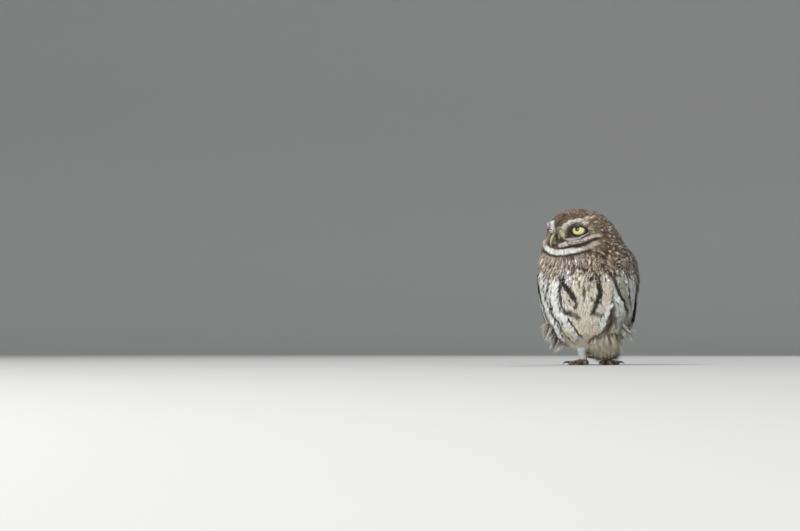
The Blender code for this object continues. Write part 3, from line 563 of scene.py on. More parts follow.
# Bands of the face: tone, half width, softness, strength, (to the owl's left, above the pupils)
FACE_BANDS = (
    ("dark", 2.6, 2.0, 0.55, ((2.5, 16), (3.7, 9.6), (8.0, 1.5))),
    ("lore", 2.5, 1.3, 0.85, ((8.8, 1), (10.8, -3), (11, -7))),
    ("dark", 0.9, 0.8, 0.75, ((13.6, -1.5), (13.0, -3), (13.6, -5.5), (15.8, -7.6))),
    ("dark", 2.2, 1.2, 0.75, ((10, -10.5), (16, -11.8))),
    ("blush", 2.0, 0.8, 1.0, ((11.5, 1.5), (13.5, 5.0), (17.8, 7.7), (23.1, 9.4), (27.6, 8.3), (30.3, 6.2))),
    ("white", 1.5, 0.7, 0.95, ((18, -10.9), (22, -10.7), (26, -9.6), (30, -6.9), (33.2, -3.4), (35.5, -0.6))),
    ("ear", 3.6, 2.0, 0.9, ((36, -1.5), (40.5, -6))),
    ("dark", 0.7, 0.6, 0.85, ((14.7, -13.0), (24.5, -13.2), (28.7, -13.0), (34.3, -10.6))),
    ("blush", 1.9, 0.7, 0.95, ((6.5, -17.4), (12, -16.5), (16.6, -15.5), (25.8, -14.1), (31.3, -12.9), (37.7, -10.2), (39.4, -7.7))),
    ("dark", 1.1, 0.6, 0.95, ((5, -21.2), (18.6, -18.9), (24.8, -17.7))),
    ("dark", 1.7, 0.8, 0.95, ((24.8, -17.9), (33.8, -15.6), (40, -11))),
    ("blush", 2.0, 1.2, 0.6, ((-34, -10), (-27, -12), (-20.4, -15.2), (-14, -18.2))),
    ("white", 2.7, 0.9, 1.0, ((-15, -18), (-8.4, -21.4), (0.4, -24.4), (11.2, -24.3), (20.6, -22.8))),
    ("white", 2.0, 1.3, 0.85, ((20.6, -23.2), (29, -22.4))),
    ("blush", 1.8, 1.6, 0.75, ((28, -22.4), (35.9, -19.7), (40.5, -15.8))),
    ("dark", 1.4, 0.8, 0.85, ((-20, -20.5), (-8.5, -26.2), (2, -28.6), (11, -28.6), (22.7, -26.4), (34.6, -23))),
)
# The far side of the face has its own white brow and lores
FAR_BANDS = (
    ("lore", 2.7, 1.5, 0.8, ((-9.5, -3), (-14, -7))),
    ("dark", 0.9, 0.8, 0.75, ((-13.6, -1.5), (-13.0, -3), (-13.6, -5.5), (-15.8, -7.6))),
    ("white", 1.8, 0.8, 1.0, ((-1.3, -3.5), (0.3, 0.5), (-3.8, 5.4), (-9, 9.2), (-18, 10.6), (-25, 9.6), (-30, 6.5))),
    ("white", 1.3, 0.7, 0.6, ((-19, -10.8), (-23.3, -11.0), (-30, -9.9), (-34.8, -5))),
    ("ear", 3.6, 2.0, 0.9, ((-36, -1.5), (-40.5, -6))),
    ("dark", 0.7, 0.6, 0.85, ((-14.7, -13.0), (-24.5, -13.2), (-34.3, -10.6))),
    ("blush", 1.6, 0.7, 0.5, ((-16.6, -13.5), (-25.8, -12.5), (-37.7, -9))),
)
# Single buff spots beside the brow: to the owl's left, above the pupils, radius
BROW_SPOTS = ((29.8, 12.6, 2.4), (29.2, 9.3, 1.6), (36.3, 7.9, 1.5))
# The white feathers of the underparts lie in chains: tone, half width, (degrees to the owl's left, height)
CHAINS = (
    ("white", 3.7, ((-64, 103), (-61, 92), (-65.5, 81), (-62.9, 72), (-58.7, 63.3), (-57, 55), (-54, 47), (-53, 38), (-57, 31), (-66, 25))),
    ("white", 4.3, ((-37, 91), (-38, 82), (-42, 73), (-42, 65), (-39, 57), (-32, 51), (-29, 43), (-25, 36), (-21, 29))),
    ("cream", 3.3, ((-36, 42), (-33, 36), (-30.5, 30), (-26, 25))),
    ("blush", 4.4, ((28.5, 92), (30, 86), (31.1, 79.6), (29.8, 68), (27, 61), (26, 57))),
    ("white", 3.2, ((34.5, 68), (33.5, 60), (30, 52), (28, 45), (26, 38))),
    ("white", 2.8, ((40.7, 76), (44, 70), (49, 66), (54, 58))),
    # this chain on the owl's left side takes the darker flank tone: painted shade
    ("flank", 3.3, ((47.5, 98), (49, 87), (51, 79), (58, 70), (65, 62))),
    ("blush", 2.2, ((-27.5, 79), (-25, 71), (-22, 65), (-18, 61), (-15, 59))),
    ("white", 3.2, ((-84, 80), (-80, 68), (-78, 55), (-76, 44), (-74, 34))),
)
TONES = ("white", "cream", "blush", "buff", "brown", "dark", "ear", "lore", "flank")
shared = {}


def head_places(points):
    """Places in millimetres to the head's left, above the pupils, and ahead of the head's middle."""
    local = (points - np.array(HEAD_MIDDLE)) / MM
    left = local @ np.array(HEAD_LEFT)
    ahead = local @ np.array(HEAD_AHEAD)
    return np.stack((left, local[:, 2] - FACE_LEVEL, ahead), axis=1)


def body_places(points):
    """Degrees round to the owl's left from straight ahead, and height in millimetres."""
    local = (points - BODY_MIDDLE) / MM
    return np.stack((np.degrees(np.arctan2(local[:, 0], -local[:, 1])), local[:, 2]), axis=1)


def uneven(points, scale):
    """Soft unevenness from -1 to 1, the same for the same place."""
    p = points / MM / scale
    return (
        np.sin(p[:, 0] * 1.7 + 2.1 * np.sin(p[:, 2] * 1.3 + 0.5))
        * np.cos(p[:, 1] * 1.9 + 1.7 * np.sin(p[:, 0] * 1.1 + 1.3))
        * np.sin(p[:, 2] * 2.3 + 1.9 * np.cos(p[:, 1] * 1.2 + 0.7))
    )


def plumage(points):
    """The coat's colour at each place, before the marks of single feathers."""
    tones = {name: tone(name) for name in TONES}
    body = body_places(points)
    head = head_places(points)
    angle, level = body[:, 0], body[:, 1]
    spread = np.abs(angle)

    def blend(colours, other, share):
        share = np.asarray(share)[:, None]
        return colours * (1 - share) + other * share

    # Underparts: white belly, cream middle and vent, streaks, and a mottled breast
    belly = tones["white"] * 0.93 * np.ones((len(points), 3))
    belly = blend(belly, tones["cream"], smooth(24, 12, spread) * 0.8)
    belly = blend(belly, tones["cream"], smooth(52, 36, level + 0.1 * spread))
    # Painted shade: the lower sides of the belly darken to the flank tone
    belly = blend(belly, tones["flank"], smooth(62, 85, spread) * smooth(62, 40, level))
    flat = np.stack((angle * AROUND, level), axis=1)
    rows = [(t, h, s, k, [(a * AROUND, z) for a, z in line]) for t, h, s, k, line in STREAKS]
    belly = Lines(rows).paint(belly, flat + 1.2 * wobble(points) + 0.5 * wobble(points * 2.3), tones)
    mottle = smooth(-0.25, 0.35, 0.6 * uneven(points, 5.0) + 0.6 * uneven(points + 0.02, 2.8))
    warm = smooth(-14, -32, angle)[:, None]
    chest = tones["brown"] * 0.6 + tones["blush"] * 0.3 * warm
    chest = blend(chest, tones["buff"] * 0.75 + tones["blush"] * 0.2 * warm, mottle * 0.72)
    bib = smooth(14, 5, np.abs(angle + 6)) * smooth(97, 103, level)
    chest = blend(chest, tones["white"] * 0.55, bib * 0.6 * mottle)
    breast = smooth(92, 98, level + 13 * uneven(points, 6.0) + 8 * uneven(points + 0.03, 3.1))
    belly = blend(belly, chest, breast)
    colours = blend(belly, tones["brown"], smooth(84, 98, spread))
    # Head
    shade = 0.95 + 0.6 * uneven(points, 2.1)
    crown = tones["brown"] * shade[:, None]
    colours = blend(colours, crown, smooth(112, 120, level - 0.1 * head[:, 2]))
    spot = tones["buff"] * 0.5 + tones["blush"] * 0.5
    low = smooth(8, 0, head[:, 1]) * smooth(104, 110, level) * smooth(108, 96, spread + 0.4 * (level - 110))
    large = smooth(0.24, 0.42, uneven(points * (1, 1, 0.7), 2.9))
    fine = smooth(0.28, 0.46, uneven(points * (1, 1, 0.8) + 0.05, 1.8))
    faint = 0.75 + 0.5 * uneven(points + 0.02, 7.0)
    colours = blend(colours, spot, np.clip(1.15 * faint * large * low, 0, 1))
    colours = blend(colours, spot * 0.7, np.clip(0.6 * faint * fine, 0, 1) * smooth(0, 8, head[:, 1]))
    face = blend(colours, 0.5 * tones["ear"] + 0.5 * tones["brown"], smooth(22, 14, np.abs(head[:, 1] + 5)) * 0.8)
    flat = head[:, :2] + 0.35 * wobble(points)
    face = Lines(FAR_BANDS).paint(face, flat, tones)
    face = Lines(FACE_BANDS).paint(face, flat, tones)
    for name in SIDES:
        face = blend(face, tones["dark"], smooth(1.12, 1.04, eye_zone(points, name)[0]))
    for left, above, radius in BROW_SPOTS:
        away = np.hypot(flat[:, 0] - left, flat[:, 1] - above)
        face = blend(face, tones["buff"], smooth(radius + 0.6, radius - 0.6, away))
    colours = blend(colours, face, smooth(4, 10, head[:, 2]) * smooth(108, 114, level))
    # Legs: the right leg's white is raised above the belly's white as painted light; the left leg's darker greenish
    # tone, and its darkening near the floor, are painted shade
    legs = smooth(23, 17, level)
    left_leg = smooth(4, 10, points[:, 0] / MM)
    legs_light_and_shade = blend(tones["white"] * 1.25 * np.ones((len(points), 3)), tones["lore"] * 0.7, left_leg)
    painted_shade_low = left_leg * smooth(17, 8, level) * smooth(18, 24, points[:, 0] / MM)
    legs_light_and_shade = blend(legs_light_and_shade, tones["dark"], painted_shade_low * 0.85)
    colours = blend(colours, legs_light_and_shade, legs)
    return np.clip(colours, 0, 1)


def wobble(points):
    """Small sideways wanderings, so that no band has a ruled edge."""
    return np.stack((uneven(points, 1.9), uneven(points + 0.01, 2.3)), axis=1)


# The skin and the form that its coat reaches
def closed_sheet(shape, across, along, place):
    """Adds a closed plate: place(share across, share along, share through it)."""
    rim = 2 * (across + along)

    def around(turn, share):
        angle = 2 * math.pi * turn
        return place(0.5 + 0.5 * math.cos(angle), share, 0.5 + 0.5 * math.sin(angle))

    return wrapped(shape, rim, along * 2, around)


def coat_depth(points, normals):
    """How far the skin lies inside the tips of the coat, in metres."""
    own = sizes()
    head = head_places(points)
    level = points[:, 2] / MM
    depth = np.full(len(points), own.coat_body)
    depth = depth + (own.coat_leg - depth) * smooth(26, 16, level)
    nape = smooth(108, 122, level)
    depth = depth + (own.coat_nape - depth) * nape
    crown = smooth(140, 156, level)
    depth = depth + (own.coat_crown - depth) * crown
    face = smooth(4, 14, head[:, 2]) * smooth(-34, -24, head[:, 1])
    depth = depth + (own.coat_face - depth) * face
    for side in SIDES:
        away = np.linalg.norm(points - np.array(EYES[side]), axis=1) / MM
        depth = depth * (0.12 + 0.88 * smooth(9.6, 14.5, away))
    depth = depth * (1 - 0.82 * on_wing(points))
    tail = smooth(34, 40, (points[:, 1] - SHIFT.y) / MM) * smooth(50, 40, level)
    return depth * (1 - 0.8 * tail)


def table_of(through, low, high):
    """The same rows read for many heights at once."""
    levels = np.linspace(low, high, 200)
    rows = np.array([through(level) for level in levels])
    return lambda where: [np.interp(where, levels, rows[:, k]) for k in range(rows.shape[1])]


outline_at = table_of(WING_OUTLINE, WING_LOW, WING_HIGH)
form_at = table_of(WING_FORM, WING_LOW, WING_HIGH)


def on_wing(points):
    """1 where a place lies on a folded wing."""
    level = points[:, 2] / MM
    front, back = outline_at(level)
    half_width, half_depth, centre = form_at(level)
    x = np.abs(points[:, 0] - SHIFT.x) / MM / half_width
    y = ((points[:, 1] - SHIFT.y) / MM - centre) / half_depth
    angle = np.degrees(np.arctan2(y, x))
    reach = (x**WING_SQUARE + np.abs(y) ** WING_SQUARE) ** (1 / WING_SQUARE)
    inside = smooth(-3, 3, angle - front) * smooth(-3, 3, back - angle) * smooth(0.8, 0.92, reach)
    return inside * (level > WING_LOW) * (level < WING_HIGH)


def zone_place(local, name):
    """Outward and up from the gaze, for places round an eye in millimetres."""
    turn = HEAD_TURN + SIDES[name] * GAZE_OUT
    return local @ np.array(leftward(turn) * SIDES[name]), local[:, 2]


def eye_zone(places, name):
    """How far out each place lies in the gaze's own ellipse, 1 at the rim of the lids, and 9 behind the eye."""
    local = (places - np.array(EYES[name])) / MM
    wide, tall = zone_place(local, name)
    wide = wide / (np.where(wide > 0, LID_OUTER, LID_INNER) + LID_RIM * 0.8 + 0.3)
    tall = (tall - LID_MIDDLE) / (LID_HALF_HEIGHT + LID_RIM + 0.2)
    ahead = local @ np.array(facing(HEAD_TURN + SIDES[name] * GAZE_OUT))
    return np.where(ahead > 0, np.hypot(wide, tall), 9.0), local


def round_eye(points, name):
    """The form settles on the eyeball at the rim of the lids and rises from there to the face."""
    zone, local = eye_zone(points, name)
    wide, tall = zone_place(local, name)
    gaze = np.array(facing(HEAD_TURN + SIDES[name] * GAZE_OUT))
    ahead = local @ gaze
    inward = 1 / np.maximum(zone, 1)
    rim_wide, rim_tall = wide * inward, LID_MIDDLE + (tall - LID_MIDDLE) * inward
    off = np.hypot(rim_wide, rim_tall)
    ball = np.sqrt(np.maximum(EYE_RADIUS**2 - off**2, 1.0)) + CORNEA * smooth(CORNEA_HALF_WIDTH, 0, off)
    beyond = np.hypot(wide - rim_wide, tall - rim_tall)
    wanted = np.clip(ahead, ball + 0.45 - 3 * beyond, ball + 0.55 + 1.4 * beyond)
    share = smooth(2.9, 2.3, zone)
    return points + gaze * (share * (wanted - ahead))[:, None] * MM


def head_swell(places):
    """How far the form stands out from the solids, in millimetres: less at the back of the crown, more above the brows."""
    head = head_places(places)
    above, ahead = head[:, 1], head[:, 2]
    across = 0.67 * np.abs(head[:, 0]) - 0.74 * ahead
    back = smooth(10, -2, ahead) * smooth(-16, 8, across)
    press = 3.0 * smooth(-6, 5, above) + 0.7 * smooth(8, 24, across) * smooth(8, 16, above)
    return 1.8 * smooth(8, 18, ahead) * smooth(13, 22, above) - back * press


class OWL_OT_skin(Operator):
    """Builds one seamless skin inside the coat, from the solids of flesh"""

    bl_idname = "owl.skin"
    bl_label = "Skin"

    def execute(self, context):
        shape = bmesh.new()
        for name in ("torso", "neck", "head", "leg_left", "leg_right"):
            shape.from_mesh(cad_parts[name].data)
        bmesh.ops.remove_doubles(shape, verts=shape.verts, dist=1e-5)
        shape.normal_update()
        grow = 0.25 * MM
        for vert in shape.verts:
            vert.co += vert.normal * grow
        for side in SIDES:
            ball = bmesh.ops.create_icosphere(shape, subdivisions=3, radius=(EYE_RADIUS - 0.5) * MM)
            bmesh.ops.translate(shape, verts=ball["verts"], vec=EYES[side])
            foot = bmesh.ops.create_icosphere(shape, subdivisions=2, radius=4.5 * MM)
            bmesh.ops.translate(
                shape, verts=foot["verts"], vec=Vector((*ANKLE[side], ANKLE_LEVEL)) * MM + SHIFT
            )
        for side in SIDES.values():

            def wing(across, along, through, side=side):
                along = WING_FLESH_LOW + (1 - WING_FLESH_LOW) * math.sin(math.pi / 2 * along)
                place, outward = wing_place(side, 0.03 + 0.94 * across, along)
                return place + outward * (through * 3.2 - 2.6) * MM

            closed_sheet(shape, 10, 12, wing)

        def tail(across, along, through):
            half = 8 + 3 * along
            place, back = tail_place(half * (2 * across - 1), 0.56 * along)
            arch = 3.0 * (2 * across - 1) ** 2
            return place + back * ((through - 0.5) * 4.6 - arch) * MM

        closed_sheet(shape, 8, 6, tail)
        bmesh.ops.remove_doubles(shape, verts=shape.verts, dist=1e-6)
        mesh = bpy.data.meshes.new("skin")
        shape.to_mesh(mesh)
        shape.free()
        obj = hand_over(
            "skin", mesh,
            ("head", "neck", "torso", "wing_left", "wing_right", "tail", "leg_left", "leg_right"),
        )
        remesh = obj.modifiers.new("even", "REMESH")
        remesh.mode = "VOXEL"
        remesh.voxel_size = 1.3 * MM
        remesh.adaptivity = 0
        soften = obj.modifiers.new("soft", "SMOOTH")
        soften.factor = 0.5
        soften.iterations = 4
        context.view_layer.update()
        graph = context.evaluated_depsgraph_get()
        even = bpy.data.meshes.new_from_object(obj.evaluated_get(graph))
        obj.modifiers.clear()
        obj.data = even
        even.name = "skin"
        points = vertices_of(even)
        points = points + normals_of(even) * head_swell(points)[:, None] * MM
        for name in SIDES:
            points = round_eye(points, name)
        even.vertices.foreach_set("co", points.astype(np.float32).ravel())
        even.update()
        normals = normals_of(even)
        depth = coat_depth(points, normals)
        even.calc_loop_triangles()
        faces = np.empty(len(even.loop_triangles) * 3, np.int32)
        even.loop_triangles.foreach_get("vertices", faces)
        faces = faces.reshape(-1, 3)
        shared["points"], shared["normals"], shared["depth"], shared["faces"] = points, normals, depth, faces
        shared["tree"] = BVHTree.FromPolygons([Vector(p) for p in points], faces.tolist())
        inner = points - normals * depth[:, None]
        inner[:, 2] = np.maximum(inner[:, 2], 2.5 * MM)
        # The skin dips behind the lids, which lie on the eyeball
        for name in SIDES:
            zone, local = eye_zone(points, name)
            share = smooth(0.96, 0.86, zone)[:, None]
            radius = np.linalg.norm(local, axis=1, keepdims=True)
            dipped = np.array(EYES[name]) + local / radius * np.minimum(radius, EYE_RADIUS - 0.6) * MM
            inner = inner * (1 - share) + dipped * share
        even.vertices.foreach_set("co", inner.astype(np.float32).ravel())
        even.update()
        even.shade_smooth()
        # The skin takes the plumage's colour darkened to three quarters: painted shade deep in the coat, showing
        # between the feathers.
        colour_layer(even, "tint", plumage(points) * 0.75)
        unwrap(obj)
        obj.data.materials.clear()
        obj.data.materials.append(skin_material())
        return {"FINISHED"}


def unwrap(obj):
    """An even unwrap of the skin's own shape; each feather later sits at its root's place on it."""
    for other in bpy.context.selected_objects:
        other.select_set(False)
    bpy.context.view_layer.objects.active = obj
    obj.select_set(True)
    while obj.data.uv_layers:
        obj.data.uv_layers.remove(obj.data.uv_layers[0])
    obj.data.uv_layers.new(name="OFBake")
    bpy.ops.object.mode_set(mode="EDIT")
    bpy.ops.mesh.select_all(action="SELECT")
    bpy.ops.uv.smart_project(angle_limit=math.radians(66), island_margin=0.002)
    bpy.ops.object.mode_set(mode="OBJECT")
    obj.select_set(False)
    layer = obj.data.uv_layers["OFBake"]
    rows = np.empty(len(obj.data.loops) * 2, np.float32)
    layer.data.foreach_get("uv", rows)
    corner = np.empty(len(obj.data.loops), np.int32)
    obj.data.loops.foreach_get("vertex_index", corner)
    table = np.zeros((len(obj.data.vertices), 2))
    table[corner] = rows.reshape(-1, 2)
    shared["unwrap"] = table


def skin_material():
    made, nodes, links, shader = new_material("Skin")
    read = node(nodes, "ShaderNodeAttribute", attribute_name="tint")
    where = nodes.new("ShaderNodeTexCoord")
    fine = node(nodes, "ShaderNodeTexNoise", in_Scale=900.0, in_Detail=4.0)
    links.new(where.outputs["Object"], fine.inputs["Vector"])
    shade = node(nodes, "ShaderNodeMapRange", in_3=0.7, in_4=1.15)
    links.new(fine.outputs[0], shade.inputs[0])
    colour_ = mixed(nodes, links, 1.0, read.outputs["Color"], shade.outputs[0], "MULTIPLY")
    links.new(colour_, shader.inputs["Base Color"])
    bump = node(nodes, "ShaderNodeBump", in_Strength=0.6, in_Distance=0.0004)
    links.new(fine.outputs[0], bump.inputs["Height"])
    links.new(bump.outputs[0], shader.inputs["Normal"])
    shader.inputs["Roughness"].default_value = 0.9
    return made


# Feather shapes: their vertices lie across -1 to 1, along 0 to 1, and raised in half widths
def barbed(columns, rows, profile, fray, cup, seed):
    """A vane from a grid, with a rounded or pointed outline, barbs that part at its edge, and a cupped section."""
    draw = np.random.default_rng(seed)
    outline = Through(profile)
    shape = bmesh.new()
    bmesh.ops.create_grid(shape, x_segments=columns, y_segments=rows, size=1)
    for vert in shape.verts:
        across, along = vert.co.x, (vert.co.y + 1) / 2
        row = round(along * rows)
        wide = outline(along)[0]
        edge = abs(across) ** 3
        notch = fray * (1 if row % 2 else -1) * edge * (0.6 + 0.8 * draw.random())
        x = across * wide * (1 + notch)
        y = along + edge * (fray * 0.25 - 0.10 * (1 - along)) - 0.05 * abs(across) * along
        vert.co = (x, y, -cup * (across * wide) ** 2)
    return template(shape)


def tuft(blades, spread, seed, thinnest=0.1):
    """A bundle of hair-like barbs from one root."""
    draw = np.random.default_rng(seed)
    shape = bmesh.new()
    for k in range(blades):
        aside = (k + 0.5) / blades * 2 - 1 + draw.uniform(-0.15, 0.15)
        reach = draw.uniform(0.65, 1.0)
        raised = draw.uniform(-0.5, 0.5)
        thin = draw.uniform(1.0, 1.6) * thinnest
        made = bmesh.ops.create_grid(shape, x_segments=1, y_segments=3, size=1)
        for vert in made["verts"]:
            along = (vert.co.y + 1) / 2
            bend = along**1.5
            vert.co = (
                aside * spread * (0.25 + 0.75 * bend) + vert.co.x * thin * (1 - along) ** 0.5,
                along * reach,
                raised * bend * spread,
            )
    return template(shape)


def template(shape):
    bmesh.ops.remove_doubles(shape, verts=shape.verts, dist=1e-5)
    bmesh.ops.triangulate(shape, faces=shape.faces)
    shape.verts.index_update()
    points = np.array([vert.co[:] for vert in shape.verts])
    faces = np.array([[vert.index for vert in face.verts] for face in shape.faces])
    shape.free()
    return points, faces


ROUNDED = ((0.0, 0.22), (0.3, 0.75), (0.6, 1.0), (0.82, 0.9), (0.94, 0.58), (1.0, 0.12))
POINTED = ((0.0, 0.3), (0.3, 0.85), (0.55, 1.0), (0.8, 0.7), (0.93, 0.33), (1.0, 0.04))
BROAD = ((0.0, 0.4), (0.15, 0.75), (0.5, 1.0), (0.88, 0.92), (0.96, 0.66), (1.0, 0.15))


def shapes(kind):
    """The few shapes of a kind, made once."""
    if kind not in shared:
        shared[kind] = {
            "plump": lambda: [barbed(2, 8, ROUNDED, 0.14, 0.2, seed) for seed in (16, 17, 18)],
            "silky": lambda: [barbed(2, 8, POINTED, 0.3, 0.16, seed) for seed in (22, 23, 24)],
            "stroke": lambda: [barbed(1, 4, POINTED, 0.0, 0.1, seed) for seed in (25, 26)],
            "contour": lambda: [barbed(4, 8, ROUNDED, 0.16, 0.28, seed) for seed in (1, 2, 3)],
            "small": lambda: [barbed(2, 5, POINTED, 0.22, 0.2, seed) for seed in (4, 5, 6)],
            "down": lambda: [tuft(9, 1.0, seed) for seed in (7, 8, 9)],
            "strands": lambda: [tuft(6, 1.0, seed, 0.05) for seed in (10, 11, 27)],
            "flight": lambda: [barbed(6, 16, BROAD, 0.05, 0.12, seed) for seed in (12, 13)],
            "covert": lambda: [barbed(4, 9, BROAD, 0.09, 0.2, seed) for seed in (14, 15)],
        }[kind]()
    return shared[kind]


class Feathers:
    """Gathers the feathers of one piece and joins them in one mesh."""

    def __init__(self, kind, uneven_tone=0.1):
        self.kind = kind
        self.uneven_tone = uneven_tone
        self.rows = []

    def add(self, line, above, half, tint, mark, kinds, root, form_colour=0.0):
        """line and above hold root, middle and tip; tint None reads the plumage at the feather's own places."""
        self.rows.append((line, above, half, tint, mark, kinds, root, form_colour))

    def build(self, name, seed):
        if not self.rows:
            raise RuntimeError("no feathers for " + name)
        draw = np.random.default_rng(seed)
        variants = shapes(self.kind)
        pick = draw.integers(0, len(variants), len(self.rows))
        all_points, all_faces, tints, marks, kinds, vane, bake = [], [], [], [], [], [], []
        start = 0
        for k, (points, faces) in enumerate(variants):
            rows = [row for row, chosen in zip(self.rows, pick) if chosen == k]
            if not rows:
                continue
            line = np.array([row[0] for row in rows])
            above = np.array([row[1] for row in rows])
            half = np.array([row[2] for row in rows])[:, None, None]
            t = points[None, :, 1:2]
            bend = 2 * line[:, 1:2] - (line[:, 0:1] + line[:, 2:3]) / 2
            centre = (1 - t) ** 2 * line[:, 0:1] + 2 * t * (1 - t) * bend + t**2 * line[:, 2:3]
            ahead = unit(2 * (1 - t) * (bend - line[:, 0:1]) + 2 * t * (line[:, 2:3] - bend))
            lift = unit((1 - t) * above[:, 0:1] + t * above[:, 2:3])
            aside = unit(np.cross(ahead, lift))
            lift = np.cross(aside, ahead)
            made = centre + aside * points[None, :, 0:1] * half + lift * points[None, :, 2:3] * half
            count = len(rows)
            all_points.append(made.reshape(-1, 3))
            all_faces.append((faces[None] + start + np.arange(count)[:, None, None] * len(points)).reshape(-1, 3))
            start += count * len(points)
            own = np.array([row[3] if row[3] is not None else (-1, -1, -1) for row in rows])
            share = np.array([row[7] for row in rows])[:, None, None]
            visible = line[:, 1:2] * 0.45 + line[:, 2:3] * 0.55
            read = made * share + visible * (1 - share)
            field = plumage(read.reshape(-1, 3)).reshape(count, -1, 3)
            vary = np.exp(draw.normal(0, self.uneven_tone, (count, 1, 1)))
            tint = np.where(own[:, None, :1] < 0, field, own[:, None, :]) * vary
            tints.append(np.clip(tint, 0, 1).reshape(-1, 3))
            marks.append(np.repeat(np.array([row[4] for row in rows]), len(points), axis=0))
            kinds.append(np.repeat(np.array([row[5] for row in rows]), len(points), axis=0))
            own_map = np.stack((points[:, 0] * 0.5 + 0.5, points[:, 1]), axis=1)
            vane.append(np.tile(own_map, (count, 1)))
            roots = np.array([row[6] for row in rows])
            bake.append((roots[:, None] + (own_map[None] - 0.5) * 0.003).reshape(-1, 2))
        faces = np.concatenate(all_faces)
        mesh = mesh_from(name, np.concatenate(all_points), faces)
        colour_layer(mesh, "tint", np.concatenate(tints))
        colour_layer(mesh, "mark", np.concatenate(marks))
        colour_layer(mesh, "kinds", np.concatenate(kinds))
        for label, table in (("OFBake", bake), ("vane", vane)):
            layer = mesh.uv_layers.new(name=label)
            layer.data.foreach_set("uv", np.concatenate(table)[faces.ravel()].astype(np.float32).ravel())
        mesh.shade_smooth()
        obj = hand_over(name, mesh)
        mesh.materials.append(feather_material())
        print("feathers", name, len(self.rows), "triangles", len(faces))
        return obj


def mesh_from(name, points, faces):
    mesh = bpy.data.meshes.new(name)
    mesh.vertices.add(len(points))
    mesh.vertices.foreach_set("co", points.astype(np.float32).ravel())
    mesh.loops.add(faces.size)
    mesh.loops.foreach_set("vertex_index", faces.astype(np.int32).ravel())
    mesh.polygons.add(len(faces))
    mesh.polygons.foreach_set("loop_start", np.arange(0, faces.size, 3, dtype=np.int32))
    mesh.update(calc_edges=True)
    mesh.validate()
    return mesh


def scatter(spacing, keep, seed, density=9.0):
    """Roots spread evenly over the skin: rows of place on the form, normal, coat depth and unwrap place."""
    draw = np.random.default_rng(seed)
    points, faces = shared["points"], shared["faces"]
    corners = points[faces]
    area = np.linalg.norm(np.cross(corners[:, 1] - corners[:, 0], corners[:, 2] - corners[:, 0]), axis=1) / 2
    wanted = keep()
    area = area * wanted
    count = int(area.sum() / (spacing * MM) ** 2 * density)
    chosen = draw.choice(len(faces), count, p=area / area.sum())
    a, b = draw.random(count), draw.random(count)
    turned = a + b > 1
    a[turned], b[turned] = 1 - a[turned], 1 - b[turned]
    weights = np.stack((1 - a - b, a, b), axis=1)[:, :, None]
    corner = faces[chosen]
    place = (points[corner] * weights).sum(axis=1)
    normal = unit((shared["normals"][corner] * weights).sum(axis=1))
    depth = (shared["depth"][corner] * weights[:, :, 0]).sum(axis=1)
    root = shared["unwrap"][corner[:, 0]]
    cell = spacing * MM
    grid = {}
    kept = []
    for k, (x, y, z) in enumerate(place.tolist()):
        home = (int(x // cell), int(y // cell), int(z // cell))
        clear = True
        for i in (-1, 0, 1):
            for j in (-1, 0, 1):
                for m in (-1, 0, 1):
                    for ox, oy, oz in grid.get((home[0] + i, home[1] + j, home[2] + m), ()):
                        if (ox - x) ** 2 + (oy - y) ** 2 + (oz - z) ** 2 < cell * cell:
                            clear = False
                            break
                    if not clear:
                        break
                if not clear:
                    break
            if not clear:
                break
        if clear:
            grid.setdefault(home, []).append((x, y, z))
            kept.append(k)
    return place[kept], normal[kept], depth[kept], root[kept]


def lie_of(places, normals):
    """The way that the feathers point at each place."""
    body = body_places(places)
    head = head_places(places)
    across = places[:, 0] / MM
    level = body[:, 1]
    gather = 0.15 + 0.75 * smooth(80, 35, level) * smooth(110, 40, np.abs(body[:, 0]))
    down = np.stack((-across / 50 * gather, np.full(len(places), 0.35), np.full(len(places), -1.0)), axis=1)
    bill = np.array(head_point(0, FACE_LEVEL - 7, 31))
    away = unit(places - bill)
    on_head = smooth(112, 126, level + 0.15 * head[:, 2])[:, None]
    nape = (smooth(6, -22, head[:, 2]) * smooth(16, -6, head[:, 1]))[:, None]
    away = away * (1 - 0.6 * nape) + np.array((0, 0.1, -1)) * 0.6 * nape
    lie = down * (1 - on_head) + away * on_head
    for side in SIDES:
        eye = np.array(EYES[side])
        out = places - eye
        far = np.linalg.norm(out, axis=1) / MM
        gaze = np.array(facing(HEAD_TURN + SIDES[side] * GAZE_OUT))
        out = out - gaze * (out @ gaze)[:, None]
        near = (smooth(20, 14, far) * smooth(0, 8, head[:, 2]))[:, None]
        lie = lie * (1 - near) + unit(out) * near
    lie = lie - normals * (lie * normals).sum(axis=1, keepdims=True)
    return unit(lie)


def laid(place, normal, lie, length, depth, rise, draw):
    """Root, middle and tip of a feather that leaves the skin and comes to lie at the coat's face."""
    tree = shared["tree"]
    line, above = [], []
    for share, height in ((0, 0.0), (0.5, 0.66), (1.0, 1.0)):
        along = Vector(place + lie * length * share)
        hit, out, _, _ = tree.find_nearest(along)
        out = Vector(out)
        inside = depth * (1 - height) - rise * height
        spot = hit - out * inside
        spot.z = max(spot.z, (1.0 + 2.0 * (1 - share)) * MM)
        line.append(np.array(spot))
        above.append(np.array(out))
    above[0] = normal
    return np.array(line), np.array(above)


def clear_of_bare(places):
    """False at the eyes, the bill and under the feet."""
    head = head_places(places)
    keep = np.ones(len(places), bool)
    for name in SIDES:
        keep &= eye_zone(places, name)[0] > 1.03
    bill = (np.abs(head[:, 0]) < 3.6) & (head[:, 2] > 27) & (head[:, 1] > -15.5) & (head[:, 1] < -2.5)
    return keep & ~bill & (places[:, 2] > 6.8 * MM)


